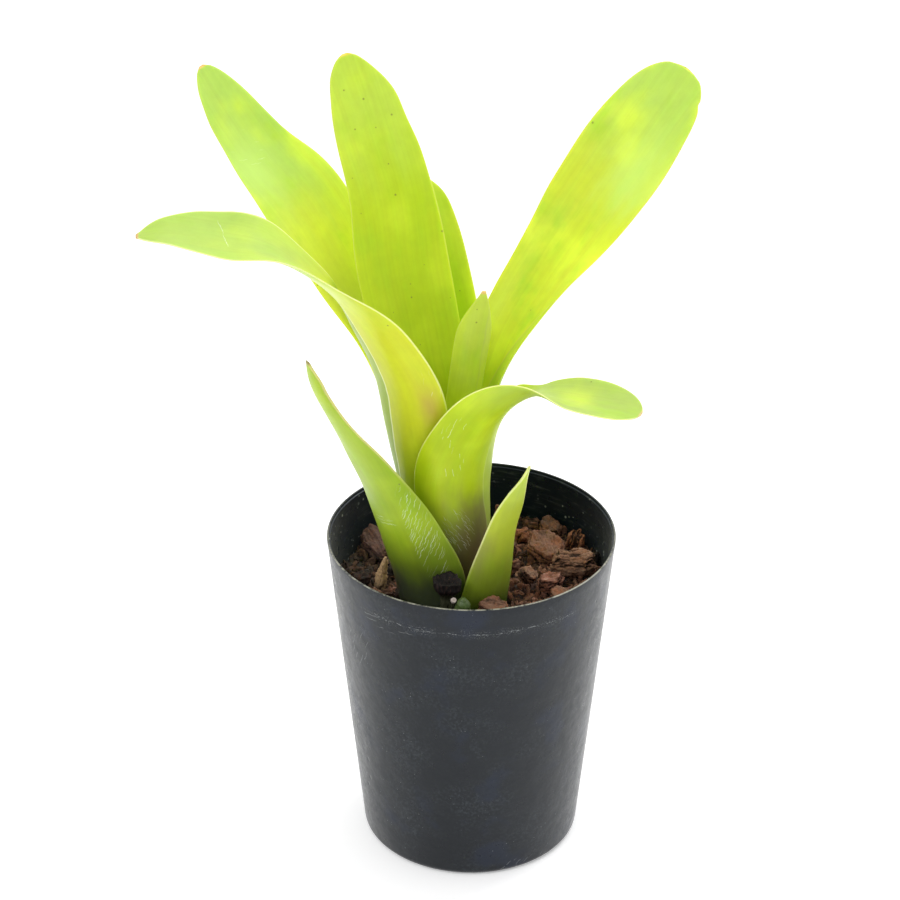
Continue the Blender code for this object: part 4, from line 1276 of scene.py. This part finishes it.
def make_bark_group():
    t, given = new_tree("bark_skin", "ShaderNodeTree", BARK_SKIN_INPUTS, SKIN_OUTPUTS)
    cut, on_edge = t.attribute("bark_cut"), t.attribute("bark_edge")
    seeded = t.attribute("bark_mm", "Vector") + t.combine(given.Seed, given.Seed, 0)
    _, _, through = t.separate(seeded)
    blotch = t.noise(seeded, 0.28, 4, 0.65)
    colour = t.blend(t.ramp(blotch, 0.45, 0.68), given.Face, given.Edge)
    colour = t.blend(on_edge * 0.55, colour, given.Edge)
    fibre = t.noise(seeded * (0.25, 2.4, 2.0), 1.0, 4, 0.7)
    # Pale fibres are strongest on the raised parts, so they are also a painted highlight on the ridges.
    raised_highlight = t.ramp(cut, 0.5, -0.5) * 0.65 + 0.35
    colour = t.blend(t.ramp(fibre, 0.52, 0.70) * given.Pale_amount * raised_highlight, colour, given.Pale)
    strata = t.math("FRACT", (through + t.noise(seeded, 0.3) * 2.0) * 1.6)
    gaps = t.ramp(strata, 0.16, 0.04) * (on_edge * 0.7)
    # Deep hollows are darkened: partly moisture, partly painted shade.
    hollow_shade = t.ramp(cut, 0.15, 1.15) * 0.93
    pits = t.ramp(t.noise(seeded, 1.6, 3, 0.7), 0.40, 0.30) * 0.6
    for deep in (gaps, hollow_shade, pits):
        colour = t.blend(deep, colour, given.Deep)
    x, _, height = t.separate(given.Place)
    # Low bark at the left wall is darkened: partly damp, partly painted shade.
    damp_and_shade = t.ramp(x, -26.0, -34.0) * t.ramp(height, 108.0, 105.5)
    return t.returns(
        Color=t.blend(damp_and_shade * 0.6, colour, given.Damp), Roughness=t.ramp(blotch, 0.3, 0.7, 0.78, 0.94),
        Height=t.noise(seeded, 3.0, 3, 0.7) * 0.4 + fibre * 0.6)


BARK_SKIN = make_bark_group()
print("nodes in the bark skin:", len(BARK_SKIN.nodes))

# %% [markdown]
# One kind of bark is never the colour of the next. The kinds differ in the colour of their faces, of
# their broken edges and of their pale fibres, and in how much of the fibres shows. "soil" is for the
# litter's crumbs; "dark" is painted shade, a near-black bark for the bed of litter and for flakes that
# lie in shade. "tan" is the pale sliver at the left.

# %% Kinds of bark
BARK_RELIEF = 0.3           # millimetres
BARK_KINDS = {
    # face, broken edge, pale fibres and their share
    "red": ((0.19, 0.098, 0.064, 1), (0.25, 0.10, 0.052, 1), (0.40, 0.25, 0.17, 1), 0.5),
    "brown": ((0.125, 0.070, 0.048, 1), (0.19, 0.080, 0.044, 1), (0.40, 0.25, 0.17, 1), 0.45),
    "orange": ((0.25, 0.10, 0.05, 1), (0.34, 0.13, 0.055, 1), (0.58, 0.38, 0.26, 1), 0.5),
    "pink": ((0.27, 0.125, 0.09, 1), (0.24, 0.09, 0.05, 1), (0.62, 0.42, 0.34, 1), 0.8),
    "grey": ((0.22, 0.125, 0.080, 1), (0.27, 0.125, 0.07, 1), (0.46, 0.34, 0.24, 1), 0.75),
    "plum": ((0.095, 0.055, 0.045, 1), (0.14, 0.065, 0.045, 1), (0.26, 0.16, 0.12, 1), 0.4),
    "soil": ((0.085, 0.048, 0.033, 1), (0.125, 0.056, 0.033, 1), (0.26, 0.15, 0.10, 1), 0.4),
    # painted shade: a near-black bark for the bed and for flakes that lie in shade
    "dark": ((0.035, 0.028, 0.026, 1), (0.075, 0.035, 0.024, 1), (0.12, 0.10, 0.09, 1), 0.5),
    "tan": ((0.52, 0.33, 0.17, 1), (0.50, 0.33, 0.18, 1), (0.66, 0.50, 0.32, 1), 0.6),
}
bark_materials = {}
for index, (kind, (face, edge, pale, amount)) in enumerate(BARK_KINDS.items()):
    values = dict(Face=face, Edge=edge, Pale=pale, Pale_amount=amount, Seed=13.0 * index)
    bark_materials[kind] = skin_material("bark_" + kind, BARK_SKIN, BARK_RELIEF, strength=0.8,
                                         values=values, Specular_IOR_Level=0.25)
print("bark finishes:", ", ".join(bark_materials))

# %% [markdown]
# Each of the larger flakes has its kind of bark. Thin ones are cut back less, so that they don't fall
# apart, and a few are smoother than the rest. The tan sliver at the left is narrowed towards its top
# and leans.

# %% The flakes' kinds
# Flakes of the "dark" kind lie in shade; their near-black is painted shade.
FLAKE_KINDS = {
    "flat": "red", "ridged": "grey", "cup": "grey", "pale": "pink", "orange": "orange",
    "arch_back": "brown", "grooved": "red", "rim_slim": "orange", "left_big": "plum",
    "tan_sliver": "tan", "curl_left": "dark", "curl_low": "grey", "behind_tube": "red",
    "bit_red": "orange", "bit_brown": "brown", "mid_low": "red", "wall_right": "dark",
    "wall_front_right": "brown", "front_mid": "red", "front_left": "brown",
    "front_far_left": "red", "left_low": "red", "left_wall": "dark", "back_left": "brown",
    "back_mid": "red", "back_inner": "brown", "inner_left": "red", "right_inner": "red",
    "back_right": "brown", "under_tan": "dark", "front_bud": "red"}
TAPERED_FLAKES = {"tan_sliver": (0.85, 2.6)}        # how much narrower, and the lean
BASE_SWELL, TOP_RAISED = 1.1, 1.2                   # of a tapered flake
FLAKE_VOXEL, MERGE_FLAT = 0.36 * MM, 1e-6
FLAKE_LEDGE, FLAKE_FACET = 0.8, 1.1                 # depths, in millimetres
FLAKE_FIBRE, SMOOTH_FIBRE = 0.75, 0.45
FLAKE_LAYER, THIN_LAYER = 1.5, 1.0                  # thickness of one layer
SMOOTH_FLAKES = {"flat", "cup", "pale", "arch_back", "left_big", "bit_red"}
THIN_FLAKES = {"tan_sliver": 0.3, "rim_slim": 0.7, "curl_left": 0.6, "curl_low": 0.6}
print("flakes:", len(FLAKE_KINDS))

# %% [markdown]
# A solid's mesh is loose triangles, so a copy of it is merged first. Which way the layers lie is found
# from the copy's own points: a flake is longest along the grain and thinnest across the layers.

# %% Grow the flakes
def solid_copy(node, name):
    """A copy of a solid's mesh with its doubled points merged, in an object of its own."""
    mesh = bpy.data.objects[node].data.copy()
    mesh.name = name
    mesh.materials.clear()
    work = bmesh.new()
    work.from_mesh(mesh)
    bmesh.ops.remove_doubles(work, verts=work.verts, dist=MERGE_FLAT)
    bmesh.ops.recalc_face_normals(work, faces=work.faces)
    work.to_mesh(mesh)
    work.free()
    return link(name, mesh)


def tapered(mesh, amount, lean):
    """Narrows a flake towards its upper end, and leans that end sideways by some millimetres."""
    points = np.array([v.co for v in mesh.vertices])
    low, high = points[:, 2].min(), points[:, 2].max()
    middle = points.mean(0)
    for vert in mesh.vertices:
        share = (vert.co.z - low) / (high - low)
        for k in (0, 1):
            vert.co[k] = middle[k] + (vert.co[k] - middle[k]) * (BASE_SWELL - amount * share ** 3)
        vert.co.x += lean * MM * share ** 2
        vert.co.z += TOP_RAISED * MM * share ** 2


def own_axes(mesh):
    """The middle of a shape, its longest and its thinnest direction."""
    points = np.array([v.co for v in mesh.vertices])
    middle = points.mean(0)
    _, _, axes = np.linalg.svd(points - middle, full_matrices=False)
    return middle, axes[0], axes[2]


def make_flake(index, label, kind):
    node = "bark_chip_" + label
    carrier = solid_copy(node, "flake_carrier")
    if label in TAPERED_FLAKES:
        tapered(carrier.data, *TAPERED_FLAKES[label])
    middle, grain, thin = own_axes(carrier.data)
    depth = THIN_FLAKES.get(label, 1.0)
    fibre = SMOOTH_FIBRE if label in SMOOTH_FLAKES else FLAKE_FIBRE
    piece = grow("flake_" + label, carrier, FLAKE_TREE, Grain=tuple(grain), Thin=tuple(thin),
                 Centre=tuple(middle), Voxel=FLAKE_VOXEL, Seed=17.3 * index,
                 Ledge=FLAKE_LEDGE * depth, Facet=FLAKE_FACET * depth, Fibre=fibre * depth,
                 Layer=FLAKE_LAYER if depth == 1.0 else THIN_LAYER, Material=bark_materials[kind])
    return settle(piece, node, slot="tan_bark" if label == "tan_sliver" else "bark")


flakes = [make_flake(i, label, kind) for i, (label, kind) in enumerate(FLAKE_KINDS.items())]
print("flake faces:", sum(len(piece.data.polygons) for piece in flakes))

# %% [markdown]
# ## Litter
#
# Between the flakes lies finer litter. Its level is the top of the bed's solid, roughened by lumps and
# cracks that only reach downwards where the surface faces up.

# %% Litter: the bed
BED_INPUTS = dict(Bed="Geometry", Voxel=0.0009, Material="Material")


def rough_bed(t, given):
    """The bed with a rough top, and the place, upward share and cut of its points."""
    place = t.get("GeometryNodeInputPosition") * 1000.0
    _, _, up = t.separate(t.get("GeometryNodeInputNormal"))
    crack = t.ramp(t.voronoi(place, 0.42).Distance, 0.2, 0.9) * 1.6
    cut = t.noise(place, 0.35, 4, 0.6) * 2.6 + crack - 1.6
    down = t.combine(0, 0, cut * t.ramp(up, 0.2, 0.6) * -0.001)
    bed = t.get("GeometryNodeSetPosition", remade(t, given.Bed, given.Voxel), None, None, down)
    return bed, place, up, cut


def make_bed_tree():
    t, given = new_tree("litter_bed", "GeometryNodeTree", BED_INPUTS, dict(Litter="Geometry"))
    bed, place, _, cut = rough_bed(t, given)
    bed = store(t, bed, "bark_mm", place, "FLOAT_VECTOR")
    bed = store(t, store(t, bed, "bark_cut", cut * 0.7 + 0.2), "bark_edge", 0.3)
    return t.returns(Litter=finished(t, bed, given.Material))


BED_TREE = make_bed_tree()
print("nodes in the bed tree:", len(BED_TREE.nodes))

# %% [markdown]
# The bed is strewn with crumbs. Points are scattered over the upward faces and kept clear of the
# leaves, and each gets a small broken lump, turned and sized at random. Copies of one lump with few
# faces are enough, because each is chipped by noise once the copies are made real.

# %% Litter: the crumbs
CRUMB_INPUTS = dict(**BED_INPUTS, Keep_off="Object", Density=300000.0, Crumb_size=0.0011, Seed=3)
LEAF_CLEARANCE = 0.0016     # metres between a crumb's middle and the nearest leaf


def make_crumb_tree():
    t, given = new_tree("litter_crumbs", "GeometryNodeTree", CRUMB_INPUTS, dict(Litter="Geometry"))

    def random(low, high, seed, data_type="FLOAT_VECTOR"):
        return t.get("FunctionNodeRandomValue", data_type=data_type, named={
            "Min": low, "Max": high, "Seed": seed})

    bed, place, up, _ = rough_bed(t, given)
    points = t.get("GeometryNodeDistributePointsOnFaces", distribute_method="RANDOM", named={
        "Mesh": bed, "Selection": up > 0.55, "Density": given.Density, "Seed": given.Seed})
    plants = t.get("GeometryNodeObjectInfo", out="Geometry", named={"Object": given.Keep_off})
    away = t.get("GeometryNodeProximity", target_element="FACES", out="Distance", named={
        "Geometry": plants})
    points = t.get("GeometryNodeDeleteGeometry", points, away < LEAF_CLEARANCE, domain="POINT")
    size = random((0.5, 0.35, 0.25), (2.1, 1.2, 0.7), given.Seed + 5)
    crumbs = t.get("GeometryNodeInstanceOnPoints", named={
        "Points": points, "Scale": size * given.Crumb_size,
        "Rotation": random((0, 0, 0), (6.28, 6.28, 6.28), given.Seed),
        "Instance": t.get("GeometryNodeMeshIcoSphere", named={"Radius": 1.0, "Subdivisions": 2})})
    tone = random(-0.5, 1.1, given.Seed + 9, data_type="FLOAT")
    crumbs = store(t, crumbs, "bark_edge", tone, domain="INSTANCE")
    crumbs = t.get("GeometryNodeRealizeInstances", crumbs)
    chipped = t.noise(place, 0.75) - 0.5
    crumbs = store(t, crumbs, "bark_mm", place, "FLOAT_VECTOR")
    crumbs = store(t, crumbs, "bark_cut", chipped * -1.5)
    outward = t.get("GeometryNodeInputNormal") * (chipped * 0.0016)
    crumbs = kept_inside(t, t.get("GeometryNodeSetPosition", crumbs, None, None, outward))
    return t.returns(Litter=finished(t, crumbs, given.Material, smooth=False))


CRUMB_TREE = make_crumb_tree()
print("nodes in the crumb tree:", len(CRUMB_TREE.nodes))

# %% [markdown]
# Three kinds of crumbs lie on the bed: mostly dark soil, some red bark and a little pale bark. All the
# leaves are joined to one guard object for a while, so that a tree can measure how far off they are.

# %% Bed and crumbs
LITTER = [
    # name, crumbs per square metre, crumb size in millimetres, seed, finish
    ("bark_crumbs", 2.2e5, 1.1, 3, "soil"),
    ("bark_crumbs_red", 0.8e5, 1.7, 11, "red"),
    ("bark_crumbs_pale", 0.3e5, 1.3, 23, "pink"),
]


def joined_copy(pieces, name):
    """One mesh from several pieces, for measuring distances to all of them."""
    work = bmesh.new()
    for piece in pieces:
        work.from_mesh(piece.data)
    mesh = bpy.data.meshes.new(name)
    work.to_mesh(mesh)
    work.free()
    return link(name, mesh)


def make_litter_piece(name, tree, kind, **values):
    piece = grow(name, solid_copy("bark_bed", "bed_carrier"), tree, Material=bark_materials[kind],
                 **values)
    return settle(piece, "bark_bed", slot="bed")


plant_guard = joined_copy(leaf_pieces, "plant_guard")
# The bed under the crumbs takes the "dark" bark, which is painted shade.
litter = [make_litter_piece("bark_litter", BED_TREE, "dark")]
for name, density, size, seed, kind in LITTER:
    litter.append(make_litter_piece(name, CRUMB_TREE, kind, Keep_off=plant_guard, Density=density,
                                    Crumb_size=size * MM, Seed=seed))
bpy.data.objects.remove(plant_guard)
print("litter faces:", [len(piece.data.polygons) for piece in litter])

# %% [markdown]
# ## Stub, bud, grain and stem
#
# In front of the two lowest leaves stands the dry stub of an old flower stalk, almost black, with a
# ragged hollow top. It is a singular shape, so it is drawn ring by ring rather than by a node tree.
# Its wall is furrowed by noise, its head flares, and the last rings sink into the hollow.

# %% The dry stub
STUB_ROUTE = [(-8, -34.8, 98, 4), (-8.6, -35.2, 112, 4.3), (-8.8, -36.0, 127.4, 4.8)]
STUB_RINGS, STUB_SIDES, RAGGED_RINGS = 60, 96, 12
STUB_SLIM, STUB_FLARE, FLARE_START, FLARE_LENGTH = 0.62, 0.54, 120, 4
STUB_HOLLOW = ((0.86, 0.1), (0.72, 0.9), (0.55, 1.9), (0.36, 2.5), (0.18, 2.3))     # inset, depth


def lump(x, y, z, size, seed=0.0):
    """Smooth noise from -1 to 1 whose lumps are about the given size in millimetres."""
    return noise.noise(Vector((x / size + seed, y / size, z / size)))


def stub_ring(x, y, z, radius):
    ring = []
    flare = STUB_SLIM + STUB_FLARE * min(1.0, max(0.0, (z - FLARE_START) / FLARE_LENGTH))
    for a in around(STUB_SIDES):
        r = radius * flare * (0.92 + 0.07 * cos(4 * (a + 0.5)) + 0.07 * sin(3 * a + x))
        r -= 0.9 * abs(lump(7 * cos(a), 7 * sin(a), z * 0.6, 2.6))
        r -= 0.5 * abs(lump(9 * cos(a), 9 * sin(a), z, 1.3, 4))
        ring.append((x + r * cos(a), y + r * sin(a), z))
    return ring


def make_stub():
    rows = smooth_rows(STUB_ROUTE, STUB_RINGS)
    rings = [stub_ring(*row) for row in rows]
    top, (x, y, z, _) = rings[-1], rows[-1]
    jag = [1.3 * abs(lump(8 * cos(a), 8 * sin(a), 3, 2.6))
           + 0.9 * abs(lump(8 * cos(a), 8 * sin(a), 9, 1.1)) for a in around(STUB_SIDES)]
    for k in range(RAGGED_RINGS):
        ring, share = rings[k - RAGGED_RINGS], (k + 1) / RAGGED_RINGS
        rings[k - RAGGED_RINGS] = [(px, py, pz - share * j) for (px, py, pz), j in zip(ring, jag)]
    for inset, drop in STUB_HOLLOW:
        rings.append([(x + inset * (px - x) + 0.25 * lump(px, py, drop, 1.3),
                       y + inset * (py - y) + 0.25 * lump(py, px, drop, 1.3),
                       z - j * inset - drop - 0.5 * lump(px, py, z, 1.1))
                      for (px, py, _), j in zip(top, jag)])
    return ring_solid("stub", rings)


def make_charred_group():
    t, given = new_tree("charred_stalk", "ShaderNodeTree", dict(
        Place="Vector", Dark=(0.005, 0.003, 0.003, 1), Fibre=(0.055, 0.028, 0.022, 1),
        Red=(0.30, 0.04, 0.03, 1), Foot=(0.045, 0.048, 0.024, 1)), SKIN_OUTPUTS)
    _, _, z = t.separate(given.Place)
    strand = t.noise(given.Place * (1.6, 1.6, 0.3), 1.0, 4, 0.65)
    colour = t.blend(t.ramp(strand, 0.50, 0.72), given.Dark, given.Fibre)
    colour = t.blend(t.ramp(z + strand * 3.0, 124.2, 122.2), colour, given.Foot)
    spot = t.vector("DISTANCE", given.Place, (-7.2, -38.3, 124.6))
    return t.returns(Color=t.blend(t.ramp(spot, 1.0, 0.5), colour, given.Red), Height=strand,
                     Roughness=t.ramp(strand, 0.3, 0.7, 0.55, 0.8))


def place_small_piece(piece, material, node, slot):
    piece.data.materials.append(material)
    settle(piece, node, slot=slot)
    print(piece.name, "faces:", len(piece.data.polygons))


place_small_piece(make_stub(), skin_material(
    "dry_stalk", make_charred_group(), 0.35, Specular_IOR_Level=0.3), "cut_stub", slot="stub")

# %% [markdown]
# Beside the stub a green offset bud is wrapped in small scales. Each ring is a little smaller within a
# scale and steps out again where the next one begins, along a slanted line. Its skin is dark green with
# a paler veil of fine nerves.

# %% The offset bud
BUD_ROUTE = [(-3.2, -39.5, 104, 2.2), (-3.3, -40.5, 113, 3.2), (-3.2, -41.0, 119.6, 2.7),
             (-3.2, -41.2, 122.4, 0.9)]
BUD_RINGS, BUD_SIDES, BUD_SCALES = 64, 72, 4


def make_bud():
    rings = []
    for k, (x, y, z, radius) in enumerate(smooth_rows(BUD_ROUTE, BUD_RINGS)):
        ring = []
        for a in around(BUD_SIDES):
            scale = (k / BUD_RINGS * BUD_SCALES + 0.35 * cos(a + k * 0.02) + 0.2) % 1.0
            r = radius * (0.86 + 0.13 * (1 - scale) + 0.02 * sin(9 * a + z))
            ring.append((x + r * cos(a), y + r * sin(a), z))
        rings.append(ring)
    return ring_solid("bud", rings)


def make_bud_group():
    t, given = new_tree("bud_scales", "ShaderNodeTree", dict(
        Place="Vector", Low=srgb(66, 80, 40), High=srgb(74, 96, 44), Veil=srgb(118, 124, 72)),
        SKIN_OUTPUTS)
    _, _, z = t.separate(given.Place)
    nerve = t.noise(given.Place * (2.2, 2.2, 0.25), 1.0, 3)
    colour = t.blend(t.ramp(z, 112.0, 119.0), given.Low, given.High)
    return t.returns(Color=t.blend(t.ramp(nerve, 0.52, 0.70) * 0.5, colour, given.Veil), Height=nerve,
                     Roughness=t.ramp(nerve, 0.3, 0.7, 0.38, 0.55))


place_small_piece(make_bud(), skin_material("bud_skin", make_bud_group(), 0.12), "offset_bud",
                  slot="bud")

# %% [markdown]
# A white grain of perlite rests against both. Perlite is blown volcanic glass, so the grain is a lumpy
# ball with pores. It starts as a fine icosphere, with one hollow at the side that faces the camera.

# %% The perlite grain
GRAIN_CENTRE, GRAIN_RADIUS = (-6.5, -41.2, 121.4), 1.1
HOLLOW_WAY = Vector((0.25, -0.75, 0.6)).normalized()


def make_grain():
    work = bmesh.new()
    bmesh.ops.create_icosphere(work, subdivisions=5, radius=1.0)
    for vert in work.verts:
        way = vert.co.normalized()
        hollow = max(0.0, way.dot(HOLLOW_WAY) - 0.72) / 0.28
        r = 0.97 + 0.05 * lump(*way, 0.5) + 0.04 * lump(*way, 0.16, 3) - 0.38 * hollow ** 0.8
        vert.co = (way * r * GRAIN_RADIUS + Vector(GRAIN_CENTRE)) * MM
    mesh = bpy.data.meshes.new("grain")
    work.to_mesh(mesh)
    work.free()
    mesh.shade_smooth()
    return link("grain", mesh)


def make_grain_group():
    t, given = new_tree("perlite", "ShaderNodeTree", dict(
        Place="Vector", White=(0.56, 0.48, 0.44, 1), Pore=(0.30, 0.22, 0.18, 1)), SKIN_OUTPUTS)
    pores = t.noise(given.Place, 4.0, 3, 0.7)
    spot = t.vector("DISTANCE", given.Place, (-6.25, -42.0, 122.0))
    colour = t.blend(t.ramp(pores, 0.42, 0.30), given.White, given.Pore)
    return t.returns(Color=t.blend(t.ramp(spot, 0.55, 0.25) * 0.8, colour, given.Pore), Height=pores,
                     Roughness=t.ramp(pores, 0.3, 0.7, 0.8, 0.6))


place_small_piece(make_grain(), skin_material("perlite_white", make_grain_group(), 0.1),
                  "perlite_grain", slot="grain")

# %% [markdown]
# The buried stem is the solid itself, smoothed and given a finish: brown, with the straw-coloured
# scars that old leaves leave round it. It can't be seen, but a maker who lifts the bark finds it.

# %% The buried stem
def make_stem_group():
    t, given = new_tree("stem_skin", "ShaderNodeTree", dict(
        Place="Vector", Brown=(0.10, 0.065, 0.035, 1), Straw=(0.30, 0.24, 0.12, 1)), SKIN_OUTPUTS)
    _, _, z = t.separate(given.Place)
    scar = t.math("SINE", (z + t.noise(given.Place, 0.2) * 2.0) * 3.2)
    patch = t.noise(given.Place, 0.5, 4, 0.65)
    straw = t.ramp(scar, 0.2, 0.9) * t.ramp(patch, 0.35, 0.65)
    return t.returns(Color=t.blend(straw, given.Brown, given.Straw), Height=scar + patch,
                     Roughness=t.ramp(patch, 0.3, 0.7, 0.7, 0.9))


stem = solid_copy("basal_stem", "stem")
stem.data.shade_smooth()
stem.data.set_sharp_from_angle(angle=radians(50))
place_small_piece(stem, skin_material("stem_bark", make_stem_group(), 0.2), "basal_stem", slot="stem")

# %% [markdown]

# %% [markdown]
# The solids are hidden behind the pieces that stand for them.
